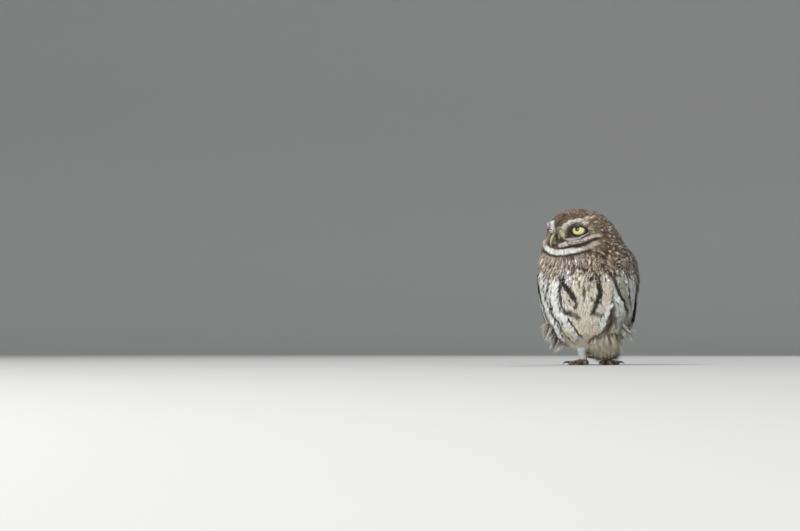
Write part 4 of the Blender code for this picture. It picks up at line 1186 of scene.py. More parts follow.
# Regions of the coat: spacing, length, half width, shape, rise of the tips, place-by-place colour, uneven tone
REGIONS = {
    "face": (0.9, 4.4, 0.55, "small", 0.15, 0.6, 0.26),
    "crown": (1.3, 5.2, 1.1, "small", 0.4, 0.4, 0.45),
    "nape": (1.6, 7.5, 1.5, "contour", 0.7, 0.6, 0.36),
    "throat": (1.15, 6.0, 0.8, "silky", 0.4, 0.8, 0.16),
    "breast": (1.5, 9.5, 1.2, "silky", 1.9, 0.15, 0.42),
    "belly": (1.4, 12.0, 1.2, "silky", 0.7, 0.6, 0.12),
    "vent": (1.5, 11.0, 2.0, "down", 1.0, 0.6, 0.12),
    "flanks": (1.9, 13.0, 2.6, "down", 1.2, 0.2, 0.14),
    "back": (2.6, 12.0, 3.4, "contour", 0.5, 0.1, 0.18),
    "shoulders": (2.3, 9.0, 2.8, "covert", 0.6, 0.1, 0.18),
    "legs": (0.95, 4.5, 0.6, "small", 0.3, 0.3, 0.10),
}


def region_of(places):
    """The coat's region at each place."""
    body = body_places(places)
    head = head_places(places)
    level, spread = body[:, 1], np.abs(body[:, 0])
    names = np.full(len(places), "belly", dtype=object)
    names[level > 95] = "breast"
    names[(level < 42) & (spread < 50)] = "vent"
    names[(spread > 62) & (level < 62)] = "flanks"
    names[(level < 30) & (spread >= 50)] = "flanks"
    names[spread > 98] = "back"
    on_head = level - 0.12 * np.clip(head[:, 2], -40, 20) > 115
    names[on_head] = "nape"
    names[on_head & (head[:, 1] > 6)] = "crown"
    names[on_head & (head[:, 2] > 0) & (head[:, 1] < -16)] = "throat"
    names[on_head & (head[:, 2] > 9) & (head[:, 1] <= 15) & (head[:, 1] >= -16)] = "face"
    names[level < 19.5] = "legs"
    covered = on_wing(places) > 0.5
    names[covered] = "shoulders"
    names[covered & (level < 84)] = "none"
    tail = (places[:, 1] - SHIFT.y > 36 * MM) & (level < 46)
    names[tail] = "none"
    return names


def feather_region(name, seed):
    """Covers one region of the skin and gives its piece."""
    spacing, length, half, kind, rise, by_place, uneven_tone = REGIONS[name]

    def keep():
        if "regions" not in shared:
            shared["regions"] = region_of(shared["points"][shared["faces"]].mean(axis=1))
        return shared["regions"] == name

    places, normals, depths, roots = scatter(spacing, keep, seed)
    clear = clear_of_bare(places)
    places, normals, depths, roots = places[clear], normals[clear], depths[clear], roots[clear]
    lies = lie_of(places, normals)
    draw = np.random.default_rng(seed + 1)
    feathers = Feathers(kind, uneven_tone)
    buff, white, dark = tone("buff"), tone("white"), tone("dark")
    spots_colour = buff * 0.5 + white * 0.5
    heads = head_places(places)
    for place, normal, depth, root, lie, head in zip(places, normals, depths, roots, lies, heads):
        long = length * draw.uniform(0.85, 1.15)
        wide = half * draw.uniform(0.85, 1.12)
        if name == "face":
            near = min(np.linalg.norm(place - np.array(EYES[side])) for side in SIDES) / MM
            long *= 0.55 + 0.45 * float(smooth(10, 16, near))
            wide *= 0.7 + 0.3 * float(smooth(10, 16, near))
        aside = np.cross(normal, lie)
        turned = lie + aside * draw.normal(0, 0.12)
        line, above = laid(place, normal, turned, long * MM, depth, rise * draw.uniform(0, 1.0) * MM, draw)
        kinds = [0.0, 0.0, 0.0, 0.0]
        mark = spots_colour
        chance = draw.random()
        if name == "crown":
            kinds[0] = draw.uniform(0.4, 1.2) if chance < 0.22 else 0.0
            kinds[3] = draw.uniform(0.1, 0.4) if chance > 0.6 else 0.0
        elif name == "nape":
            kinds[0] = draw.uniform(0.8, 1.6) if chance < 0.14 else 0.0
            kinds[3] = draw.uniform(0.2, 0.6) if chance > 0.7 else 0.0
        elif name == "breast":
            kinds[3] = draw.uniform(0.4, 1.2) if chance < 0.42 else 0.0
            kinds[0] = draw.uniform(0.5, 1.0) if chance > 0.85 else 0.0
        elif name in ("shoulders", "back"):
            kinds[1] = draw.uniform(0.6, 1.0) if chance < 0.5 else 0.0
            mark = white
        elif name == "belly":
            kinds[0] = draw.uniform(0.15, 0.5) if chance < 0.2 else 0.0
            mark = dark * 4
        feathers.add(line, above, wide * MM, None, mark, kinds, root, by_place)
    return feathers.build("feathers_" + name, seed + 2)


class OWL_OT_head_feathers(Operator):
    """Covers crown, nape, throat and face"""

    bl_idname = "owl.head_feathers"
    bl_label = "Head feathers"

    def execute(self, context):
        for k, name in enumerate(("crown", "nape", "throat", "face")):
            feather_region(name, 100 + 10 * k)
        return {"FINISHED"}


# Feathers that stand out from the face: tone, brightness, half width, length, stand, direction (left, up, ahead),
# step, line
TUFTS = (
    ("white", 1.0, 0.4, 3.2, 1.1, (-0.35, 0.65, 0.45), 0.3, ((-1.2, -4), (0.4, 0.5), (-1.6, 5), (-3.5, 8))),
    ("white", 0.9, 0.3, 4.6, 0.9, (-0.80, 0.30, 0.35), 1.0, ((-1.5, -2), (-0.5, 1), (-2, 5), (-3, 8))),
    ("brown", 1.7, 0.5, 3.2, 0.8, (-0.75, -0.30, 0.20), 0.3, ((-4, 7), (-5, 4), (-5, 0), (-6, -3), (-9, -5), (-13, -7))),
    ("brown", 1.9, 0.5, 4.5, 1.0, (-0.45, -0.80, 0.25), 0.3, ((-4.2, -3), (-5.2, -7), (-7.5, -10), (-9, -13))),
    ("lore", 1.15, 0.32, 4.2, 0.5, (0.75, -0.55, 0.10), 0.35, ((5.5, 2), (8, 0), (9.5, -3), (11, -6))),
    ("lore", 0.6, 0.34, 4.0, 0.5, (0.55, -0.75, 0.15), 0.35, ((5, 0), (6.5, -3), (8, -8))),
    ("lore", 0.9, 0.3, 4.5, 0.4, (0.90, -0.30, 0.00), 0.35, ((12, -8.5), (15, -10.5), (19, -12.4))),
    ("cream", 0.85, 0.3, 4.2, 0.5, (0.75, -0.50, 0.10), 0.8, ((6.5, 1), (9, -1.5), (12, -6))),
    ("dark", 2.0, 0.4, 3.5, 0.6, (0.40, -0.60, 0.40), 1.2, ((8, 2), (10, -1), (12, -5))),
    ("blush", 1.0, 0.32, 4.2, 0.5, (0.80, 0.12, 0.10), 0.3, ((9.0, 2), (9.6, -1), (10.2, -4), (11, -7))),
    ("lore", 0.8, 0.32, 3.8, 0.4, (0.80, 0.00, 0.10), 0.5, ((10.0, 1), (11, -3), (12.2, -7))),
    ("blush", 1.4, 0.42, 4.6, 0.7, (0.80, 0.36, 0.10), 0.28, ((10, 0.5), (12, 3.6), (14.5, 6), (18, 7.8), (23, 8.8), (27, 7.8))),
    ("brown", 1.5, 0.3, 5.0, 0.8, (0.80, 0.30, 0.10), 1.6, ((12, 4), (18, 8.2), (27, 8))),
    ("dark", 2.4, 0.35, 3.6, 0.3, (0.10, 0.90, 0.20), 0.8, ((2.5, 16), (3.5, 10), (5.5, 4))),
    ("brown", 2.4, 0.35, 4.0, 0.5, (0.20, 0.90, 0.20), 0.8, ((0.5, 14), (3, 8), (8, 12), (14, 14))),
    ("blush", 1.0, 0.45, 4.5, 0.6, (0.85, 0.05, -0.1), 0.4, ((22, 9), (27, 8), (30, 6))),
    ("blush", 1.1, 0.4, 3.6, 0.5, (-0.75, 0.30, 0.10), 0.3, ((-10, 2), (-14, 6), (-18, 7.8), (-23, 8.8), (-28, 7.8))),
    ("white", 0.98, 0.36, 3.4, 0.5, (0.88, 0.05, 0.00), 0.2, ((17.5, -10.9), (22, -10.9), (26, -9.9))),
    ("white", 0.98, 0.36, 3.2, 0.5, (0.65, 0.65, -0.3), 0.16, ((26, -9.8), (30, -7.2), (33.2, -3.7), (35.3, -1))),
    ("white", 0.75, 0.32, 3.4, 0.2, (-0.85, 0.02, 0.00), 0.3, ((-17, -10.9), (-22, -11.4), (-27, -11.0), (-32, -8.8))),
    ("ear", 2.2, 0.35, 6.5, 0.6, (0.90, -0.20, -0.30), 0.4, ((33, 2), (35, -1), (36, -5))),
    ("ear", 1.6, 0.35, 3.5, 0.2, (-0.60, -0.30, -0.60), 0.5, ((-33, 2), (-35, -1), (-36, -5))),
    ("blush", 1.1, 0.36, 6.0, 0.5, (0.90, 0.28, -0.1), 0.5, ((8, -17), (16, -15.3), (25.8, -14), (33, -12))),
    ("brown", 1.3, 0.32, 6.0, 0.6, (0.90, 0.28, -0.1), 0.8, ((14, -16.4), (25.8, -14.6), (35, -12))),
    ("dark", 1.5, 0.3, 6.5, 1.6, (0.30, -0.70, 0.60), 0.35, ((3.2, -2), (4.2, -5), (5.2, -9))),
    ("lore", 0.7, 0.35, 6.5, 1.8, (-0.25, -0.70, 0.60), 0.35, ((-3.2, -3), (-4.2, -6), (-5.0, -9))),
    ("lore", 0.55, 0.4, 6.5, 1.4, (-0.10, -0.45, 0.90), 0.25, ((5.2, -7), (5.4, -10), (5.0, -13))),
    ("brown", 1.6, 0.4, 6.5, 1.4, (0.10, -0.45, 0.90), 0.25, ((-5.2, -7), (-5.4, -10), (-5.0, -13))),
)


def on_face(left, above):
    """The place on the face's form, seen from straight ahead of the head, and its outward direction."""
    start = head_point(left, FACE_LEVEL + above, 80)
    hit, normal, _, _ = shared["tree"].ray_cast(start, -HEAD_AHEAD)
    if hit is None:
        raise RuntimeError(f"the face has no place at {left}, {above}")
    return hit, normal


class OWL_OT_face_tufts(Operator):
    """Stands brows, lores and bristles out from the face"""

    bl_idname = "owl.face_tufts"
    bl_label = "Face tufts"

    def execute(self, context):
        feathers = Feathers("stroke", 0.22)
        draw = np.random.default_rng(81)
        for tone_name, bright, half, long, stand, direction, step, points in TUFTS:
            far = np.cumsum([0] + [math.dist(a, b) for a, b in zip(points[:-1], points[1:])])
            for start in np.arange(0, far[-1], step):
                left = np.interp(start, far, [p[0] for p in points]) + draw.normal(0, 0.6)
                above_ = np.interp(start, far, [p[1] for p in points]) + draw.normal(0, 0.6)
                place, out = on_face(left, above_)
                lie = HEAD_LEFT * direction[0] + UP * direction[1] + HEAD_AHEAD * direction[2]
                lie = (lie + Vector(draw.normal(0, 0.16, 3))).normalized()
                reach = long * draw.uniform(0.75, 1.15)
                flat = lie - out * lie.dot(out) * 0.7
                line = [np.array(place - out * 0.8 * MM)]
                line.append(np.array(place + (flat * reach * 0.5 + out * stand * 0.8) * MM))
                line.append(np.array(place + (flat * reach + out * stand * draw.uniform(0.6, 1.1)) * MM))
                tint = np.minimum(tone(tone_name) * bright, 0.85)
                feathers.add(line, [np.array(out)] * 3, half * MM, tint, tint, (0, 0, 0, 0), nearest_root(line[0]))
        feathers.build("feathers_brows", 82)
        return {"FINISHED"}


class OWL_OT_flank_wisps(Operator):
    """Lets loose downy wisps stand out from the lower flanks"""

    bl_idname = "owl.flank_wisps"
    bl_label = "Flank wisps"

    def execute(self, context):
        feathers = Feathers("down", 0.2)
        draw = np.random.default_rng(91)
        tint = tone("blush") * 0.6 + tone("white") * 0.5
        for side, count in ((-1, 280), (1, 70)):
            for _ in range(count):
                angle, level = side * draw.uniform(60, 104), draw.uniform(25, 48)
                place, out = on_form(angle, level)
                lie = (out * 0.85 + Vector((0, -0.1, -0.6)) + Vector(draw.normal(0, 0.22, 3))).normalized()
                reach = draw.uniform(7, 14)
                line = [np.array(place - out * 3 * MM)]
                line.append(np.array(place + (lie * reach * 0.5 + out * 0.8) * MM))
                line.append(np.array(place + (lie * reach + Vector((0, 0, -0.15)) * reach) * MM))
                feathers.add(line, [np.array(out)] * 3, 2.0 * MM, tint, tint, (0, 0, 0, 0), nearest_root(line[0]))
        feathers.build("flank_wisps", 92)
        return {"FINISHED"}


# The fluff that hangs over the left leg, from the back layer to the front one: count, across from and to,
# tip level from and to, tone, brightness, how far it stands ahead
FLUFF = (
    # The first row's dark strands hang lowest and furthest back: painted shade under the fluff
    (440, 9, 30, 0.5, 6, "dark", 0.9, -1.5),
    (120, 26, 33, 5, 16, "cream", 0.7, -1.0),
    (240, 9, 31, 5, 13, "ear", 0.8, 1.0),
    (240, 9, 31, 10, 19, "blush", 0.34, 2.2),
    (170, 5, 16, 7, 15, "lore", 0.65, 2.4),
    (190, 5, 16, 10, 21, "cream", 0.7, 3.0),
    (150, 8, 31, 8, 18, "cream", 0.85, 3.4),
    (50, 9, 28, 2.5, 8, "cream", 0.9, 3.0),
)
# Its upper edge: across, level; in millimetres
FLUFF_EDGE = ((0, 23), (10, 28.5), (22, 34), (32, 36))
FLUFF_DEEP = 24.0  # tips above this level hang straight down
FLUFF_BACK = -15.0  # how far ahead of the owl's middle the lowest tips come to lie


class OWL_OT_leg_fluff(Operator):
    """Hangs the long hair-like feathers of the belly over the left leg"""

    bl_idname = "owl.leg_fluff"
    bl_label = "Leg fluff"

    def execute(self, context):
        feathers = Feathers("strands", 0.35)
        draw = np.random.default_rng(95)
        edge = np.array(FLUFF_EDGE)
        for count, x_from, x_to, to_low, to_high, tone_name, bright, ahead_by in FLUFF:
            for _ in range(count):
                across = draw.uniform(x_from, x_to)
                level = np.interp(across, edge[:, 0], edge[:, 1]) - abs(draw.normal(0, 3.5))
                place, out, _, _ = shared["tree"].ray_cast(Vector((across, -200, level)) * MM, Vector((0, 1, 0)))
                if place is None or place.y > 0.012:
                    continue
                low = draw.uniform(to_low, to_high)
                drift = 2.0 - across * 0.06 + draw.normal(0, 3.0)
                # the lower a tip hangs, the nearer it comes to the front of the leg
                back = min(low / FLUFF_DEEP, 1)
                tip_y = place.y / MM * back + FLUFF_BACK * (1 - back) + draw.uniform(-3, 3) - ahead_by
                tip = Vector((across + drift, tip_y, low)) * MM
                middle_ = (place + tip) / 2 + Vector((draw.normal(-0.8, 0.8), -0.6 - ahead_by, 0)) * MM
                line = [np.array(place - out * 2 * MM), np.array(middle_), np.array(tip)]
                tint = tone(tone_name) * bright
                ahead = np.array((0, -1.0, 0.0))
                feathers.add(line, [ahead] * 3, 2.2 * MM, tint, tint, (0, 0, 0, 0), nearest_root(line[0]))
        feathers.build("leg_fluff", 96)
        return {"FINISHED"}


class OWL_OT_body_feathers(Operator):
    """Covers breast, belly, vent, flanks, back and shoulders"""

    bl_idname = "owl.body_feathers"
    bl_label = "Body feathers"

    def execute(self, context):
        for k, name in enumerate(("breast", "belly", "vent", "flanks", "back", "shoulders")):
            feather_region(name, 200 + 10 * k)
        return {"FINISHED"}


def on_form(angle, level):
    """The place on the coat's face at an angle to the owl's left and a height, and its outward direction."""
    turn = math.radians(angle)
    out = Vector((math.sin(turn), -math.cos(turn), 0))
    start = Vector(BODY_MIDDLE) + UP * level * MM
    hit, normal, _, _ = shared["tree"].ray_cast(start + out * 0.12, -out)
    if hit is None:
        raise RuntimeError(f"the form has no place at {angle}, {level}")
    return hit, normal


class OWL_OT_chain_feathers(Operator):
    """Lays the rounded pale feathers of the underparts in chains"""

    bl_idname = "owl.chain_feathers"
    bl_label = "Chain feathers"

    def execute(self, context):
        feathers = Feathers("plump", 0.07)
        draw = np.random.default_rng(61)
        dark = tone("dark")
        step = 6.6
        long = 13.5
        for tone_name, half, points in CHAINS:
            track = [on_form(*point) for point in points]
            spots = [spot for spot, _ in track]
            reach = np.cumsum([0] + [(b - a).length / MM for a, b in zip(spots[:-1], spots[1:])])
            route = Through([(far, *spot, *out) for far, (spot, out) in zip(reach, track)])
            count = int((reach[-1] - long * 0.5) / step)
            lie = (spots[-1] - spots[-2]).normalized()
            for k in range(count + 1):
                start = k * step + draw.uniform(-0.6, 0.6)
                size_ = half * draw.uniform(0.9, 1.15)
                rise = draw.uniform(0.5, 1.2)
                swing = (1.5 if k % 2 else -1.5) + draw.uniform(-0.5, 0.5)
                lobe = tone(tone_name) * draw.uniform(0.82, 1.06)
                for fan in (-1, -0.5, 0, 0.5, 1):
                    line, above = [], []
                    own = long * (1 - 0.22 * abs(fan)) * draw.uniform(0.93, 1.07)
                    for share, lift in ((0, -3.2), (0.5, 0.7 + rise), (1, 0.1 + rise * 0.6)):
                        row = route(min(start + own * share, reach[-1]) + 1e-6)
                        near, out, _, _ = shared["tree"].find_nearest(Vector(row[:3]))
                        beside = out.cross(UP).normalized()
                        # past the chain's end the feather runs on in its own direction
                        past = max(start + own * share - reach[-1], 0)
                        bow = 0.35 + 0.85 * math.sin(math.pi * share) * 0.5 - 0.08 * share
                        aside_by = swing * (1 - share * 1.7) + fan * size_ * bow
                        round_off = 0.5 * abs(fan) * share
                        place = near + (beside * aside_by + out * (lift - round_off) + lie * past) * MM
                        line.append(np.array(place))
                        above.append(np.array(out))
                    streak = draw.uniform(0.2, 0.7) if draw.random() < 0.2 else 0.0
                    wide = size_ * 0.42 * MM
                    feathers.add(line, above, wide, lobe, dark * 3, (streak, 0, 0, 0), nearest_root(line[0]), 0.0)
                # Dark notches show at both edges where two lobes meet
                for edge in (-1, 1):
                    if start + long > reach[-1] - 3:
                        continue
                    line, above = [], []
                    for share, lift in ((0, -1.5), (0.5, 0.7), (1, 0.9)):
                        row = route(min(start + long * 0.72 + 5 * share, reach[-1]) + 1e-6)
                        near, out, _, _ = shared["tree"].find_nearest(Vector(row[:3]))
                        beside = out.cross(UP).normalized()
                        line.append(np.array(near + (beside * edge * (size_ + 0.6) + out * lift) * MM))
                        above.append(np.array(out))
                    feathers.add(line, above, 0.8 * MM, dark * 1.6, dark, (0, 0, 0, 0), nearest_root(line[0]), 0.0)
        feathers.build("feathers_chains", 62)
        return {"FINISHED"}


class OWL_OT_leg_feathers(Operator):
    """Covers the legs with short downy feathers"""

    bl_idname = "owl.leg_feathers"
    bl_label = "Leg feathers"

    def execute(self, context):
        feather_region("legs", 300)
        return {"FINISHED"}


# Tiers of the folded wing: count, across from front to back, root, tip at the front, tip at the back,
# half width, lift at root and tip, shape, share of bars and spots
WING_TIERS = {
    "primaries": (10, 0.05, 0.88, 0.50, 0.16, 0.0, 4.6, -1.0, 0.3, "flight", 0.6, 0.0),
    "secondaries": (13, 0.08, 0.96, 0.64, 0.27, 0.33, 5.2, -0.7, 1.5, "flight", 0.5, 0.0),
    "greater_coverts": (17, 0.04, 0.96, 0.76, 0.49, 0.54, 4.0, -0.3, 1.7, "covert", 0.0, 0.9),
    "median_coverts": (17, 0.04, 0.95, 0.86, 0.63, 0.67, 3.8, -0.1, 1.9, "covert", 0.0, 0.9),
    "lesser_coverts": (16, 0.04, 0.95, 0.93, 0.74, 0.77, 3.6, 0.1, 2.1, "covert", 0.0, 0.8),
    "scapulars": (10, 0.55, 0.97, 0.93, 0.68, 0.50, 4.4, 0.3, 2.7, "covert", 0.0, 1.0),
    "upper_scapulars": (10, 0.50, 0.97, 0.99, 0.82, 0.72, 4.0, 0.5, 2.9, "covert", 0.0, 0.9),
}


def nearest_root(place):
    """The unwrap place of the skin nearest to a place."""
    _, _, index, _ = shared["tree"].find_nearest(Vector(place))
    return shared["unwrap"][shared["faces"][index][0]]


class OWL_OT_wing_feathers(Operator):
    """Lays the flight feathers and their coverts in tiers over both wings"""

    bl_idname = "owl.wing_feathers"
    bl_label = "Wing feathers"

    def execute(self, context):
        brown, white, buff = tone("brown"), tone("white"), tone("buff")
        for tier_name, row in WING_TIERS.items():
            count, front, back, root, tip_front, tip_back, half, low, high, kind, bars, spots = row
            for name, side in SIDES.items():
                draw = np.random.default_rng(len(tier_name) * 7 + side + 1)
                feathers = Feathers(kind)
                for k in range(count):
                    share = k / (count - 1)
                    across = front + (back - front) * share
                    loose = 0.01 if kind == "flight" else 0.028
                    tip = tip_front + (tip_back - tip_front) * share + draw.uniform(-1, 1) * loose
                    line, above = [], []
                    for part in (0, 0.5, 1):
                        along = root + (tip - root) * part
                        place, out = wing_place(side, across, along)
                        # the front edge of each feather lies over the one before it
                        tilted = out + (wing_place(side, across + 0.02, along)[0] - place).normalized() * 0.12
                        lift = low + (high - low) * part + (0.25 if k % 2 else 0.0) * part
                        line.append(np.array(place + out * lift * MM))
                        above.append(np.array(tilted.normalized()))
                    tint = brown * draw.uniform(0.8, 1.2)
                    mark = white * 0.6 + buff * 0.4
                    kinds = (0, spots * draw.choice((0.15, 0.6, 1)), bars * draw.uniform(0.7, 1), 0.2)
                    wide = half * (1 + draw.uniform(-1, 1) * 0.05)
                    feathers.add(line, above, wide * MM, tint, mark, kinds, nearest_root(line[0]))
                feathers.build(f"{tier_name}_{name}", 400 + side)
        return {"FINISHED"}


class OWL_OT_tail_feathers(Operator):
    """Fans out the twelve tail feathers, the middle pair on top"""

    bl_idname = "owl.tail_feathers"
    bl_label = "Tail feathers"

    def execute(self, context):
        brown, white, buff = tone("brown"), tone("white"), tone("buff")
        draw = np.random.default_rng(31)
        feathers = Feathers("flight")
        pairs = 6
        for pair in range(pairs):
            for side in (-1, 1):
                at_tip = side * (3.2 + 2.3 * pair)
                tip = 1 - 0.016 * pair
                line, above = [], []
                for part in (0, 0.5, 1):
                    along = 0.30 + (tip - 0.30) * part
                    spread = 0.55 + 0.45 * part
                    place, back = tail_place(at_tip * spread, along)
                    lift = ((pairs - 1) / 2 - pair) * 0.92 * spread
                    line.append(np.array(place + back * lift * MM))
                    above.append(np.array(back))
                kinds = (0, 0, 0.8, 0.1)
                tint = brown * draw.uniform(0.9, 1.1)
                feathers.add(line, above, 3.9 * MM, tint, white * 0.6 + buff * 0.4, kinds, nearest_root(line[0]))
        for k in range(9):
            share = k / 8 * 2 - 1
            line, above = [], []
            for part in (0, 0.5, 1):
                place, back = tail_place(share * 8, 0.05 + 0.5 * part)
                line.append(np.array(place + back * (3.4 - 2.2 * share**2 + 0.3 * part) * MM))
                above.append(np.array(back))
            feathers.add(line, above, 4.2 * MM, brown, white, (0, 0.8, 0, 0.1), nearest_root(line[0]))
        feathers.build("tail_feathers", 450)
        return {"FINISHED"}


# Eyes and lids
def lid_rim(turn, wider):
    """A place on the lids round the gaze: outward and up. wider runs from 0 at the opening to 1 at the rim's edge."""
    across, above = math.cos(turn), math.sin(turn)
    power = 2 / (LID_ABOVE if above > 0 else LID_BELOW)
    wide = (LID_OUTER if across > 0 else LID_INNER) + LID_RIM * wider * 0.8
    tall = LID_HALF_HEIGHT + LID_RIM * wider
    outward = wide * math.copysign(abs(across) ** power, across)
    up = LID_MIDDLE + tall * math.copysign(abs(above) ** power, above)
    corner = max(across, 0) ** 10
    return outward + LID_CORNER * corner * wider * 0.6, up + (0.9 + LID_CORNER * wider) * corner * 0.9


class OWL_OT_eyes(Operator):
    """Makes both eyeballs with their bulging corneas"""

    bl_idname = "owl.eyes"
    bl_label = "Eyes"

    def execute(self, context):
        own = sizes()
        for name, side in SIDES.items():
            turn = HEAD_TURN + side * GAZE_OUT
            gaze, outward = facing(turn), leftward(turn) * side
            shape = bmesh.new()
            bmesh.ops.create_uvsphere(shape, u_segments=48, v_segments=32, radius=EYE_RADIUS * MM)
            for vert in shape.verts:
                off = vert.co.xy.length / MM
                if vert.co.z > 0:
                    vert.co.z += CORNEA * MM * float(smooth(CORNEA_HALF_WIDTH, 0, off))
            turned = Matrix((outward, UP, gaze)).transposed().to_4x4()
            layer = shape.loops.layers.uv.new("eye")
            for face in shape.faces:
                for loop in face.loops:
                    co = loop.vert.co
                    behind = 1.0 if co.z >= 0 else 3.0
                    loop[layer].uv = (0.5 + co.x * behind / 0.04, 0.5 + co.y * behind / 0.04)
            bmesh.ops.transform(shape, matrix=Matrix.Translation(EYES[name]) @ turned, verts=shape.verts)
            piece = finish_piece("eye_ball_" + name, shape, ("eye_" + name,))
            piece.data.materials.append(eye_material(own))
        return {"FINISHED"}


def eye_material(own):
    found = bpy.data.materials.get("Eye")
    if found:
        return found
    made, nodes, links, shader = new_material("Eye")
    place = node(nodes, "ShaderNodeUVMap", uv_map="eye")
    centred = node(nodes, "ShaderNodeVectorMath", operation="SUBTRACT", in_1=(0.5, 0.5, 0))
    links.new(place.outputs[0], centred.inputs[0])
    length = node(nodes, "ShaderNodeVectorMath", operation="LENGTH")
    links.new(centred.outputs[0], length.inputs[0])
    away = sums(nodes, links, "MULTIPLY", length.outputs["Value"], 0.04)
    ramp = node(nodes, "ShaderNodeMapRange", in_1=0.0, in_2=0.012)
    links.new(away, ramp.inputs[0])
    iris = tone("iris")
    bands = node(nodes, "ShaderNodeValToRGB")
    stops = bands.color_ramp
    pupil, rim = own.pupil / 0.012, own.iris / 0.012
    rows = (
        (0.0, (0.004, 0.004, 0.004)),
        (pupil - 0.012, (0.004, 0.004, 0.004)),
        (pupil + 0.012, iris * 0.55),
        (pupil + 0.06, iris),
        (rim - 0.10, iris * (1.0, 0.97, 0.8)),
        (rim - 0.035, iris * (0.6, 0.5, 0.4)),
        (rim, (0.012, 0.01, 0.008)),
    )
    stops.elements[0].position, stops.elements[0].color = rows[0][0], (*rows[0][1], 1)
    stops.elements[1].position, stops.elements[1].color = rows[-1][0], (*rows[-1][1], 1)
    for position, value in rows[1:-1]:
        stop = stops.elements.new(position)
        stop.color = (*value, 1)
    links.new(ramp.outputs[0], bands.inputs[0])
    # Fine threads run outwards through the iris
    angle = node(nodes, "ShaderNodeTexNoise", in_Scale=26.0, in_Detail=3.0)
    links.new(node_normalised(nodes, links, centred.outputs[0]), angle.inputs["Vector"])
    threads = node(nodes, "ShaderNodeMapRange", in_3=0.82, in_4=1.12)
    links.new(angle.outputs[0], threads.inputs[0])
    colour_ = mixed(nodes, links, 1.0, bands.outputs[0], threads.outputs[0], "MULTIPLY")
    links.new(colour_, shader.inputs["Base Color"])
    shader.inputs["Roughness"].default_value = 0.25
    shader.inputs["Coat Weight"].default_value = 1.0
    shader.inputs["Coat Roughness"].default_value = 0.02
    return made


def node_normalised(nodes, links, socket):
    made = node(nodes, "ShaderNodeVectorMath", operation="NORMALIZE")
    links.new(socket, made.inputs[0])
    return made.outputs[0]


class OWL_OT_lids(Operator):
    """Rings each eye with the bare dark rims of its lids"""

    bl_idname = "owl.lids"
    bl_label = "Lids"

    def execute(self, context):
        # Rows: share of the rim's width, out from the eyeball
        section = (
            (-0.15, -0.5),
            (-0.05, 0.2),
            (0.15, 0.75),
            (0.5, 1.15),
            (0.85, 1.05),
            (1.05, 0.4),
            (1.25, -1.0),
            (1.4, -2.6),
        )
        for name, side in SIDES.items():
            turn = HEAD_TURN + side * GAZE_OUT
            gaze, outward = facing(turn), leftward(turn) * side
            shape = bmesh.new()
            profile = Through([(k, *row) for k, row in enumerate(section)])

            def place(around, share, name=name, gaze=gaze, outward=outward):
                wider, out = profile(share * (len(section) - 1))
                wide, tall = lid_rim(2 * math.pi * around, wider)
                off = math.hypot(wide, tall)
                ahead = math.sqrt(max(EYE_RADIUS**2 - off**2, 0.0))
                ahead += CORNEA * float(smooth(CORNEA_HALF_WIDTH, 0, off))
                spot = outward * wide + UP * tall + gaze * ahead
                crease = 0.1 * math.sin(2 * math.pi * around * 30) * math.sin(math.pi * share)
                return EYES[name] + (spot + spot.normalized() * (out + crease)) * MM

            wrapped(shape, 96, 14, place)
            piece = finish_piece("lids_" + name, shape)
            piece.data.materials.append(bare_material("Lid skin", "lids", 0.45, 1800.0))
        return {"FINISHED"}


def bare_material(name, tone_name, rough, grain):
    """Skin or horn: one colour broken up by fine grain, with its relief."""
    found = bpy.data.materials.get(name)
    if found:
        return found
    made, nodes, links, shader = new_material(name)
    where = nodes.new("ShaderNodeTexCoord")
    fine = node(nodes, "ShaderNodeTexNoise", in_Scale=grain, in_Detail=3.0)
    links.new(where.outputs["Object"], fine.inputs["Vector"])
    base = tone(tone_name)
    colour_ = mixed(nodes, links, fine.outputs[0], base * 0.7, base * 1.35)
    links.new(colour_, shader.inputs["Base Color"])
    bump = node(nodes, "ShaderNodeBump", in_Strength=0.3, in_Distance=0.0002)
    links.new(fine.outputs[0], bump.inputs["Height"])
    links.new(bump.outputs[0], shader.inputs["Normal"])
    shader.inputs["Roughness"].default_value = rough
    return made


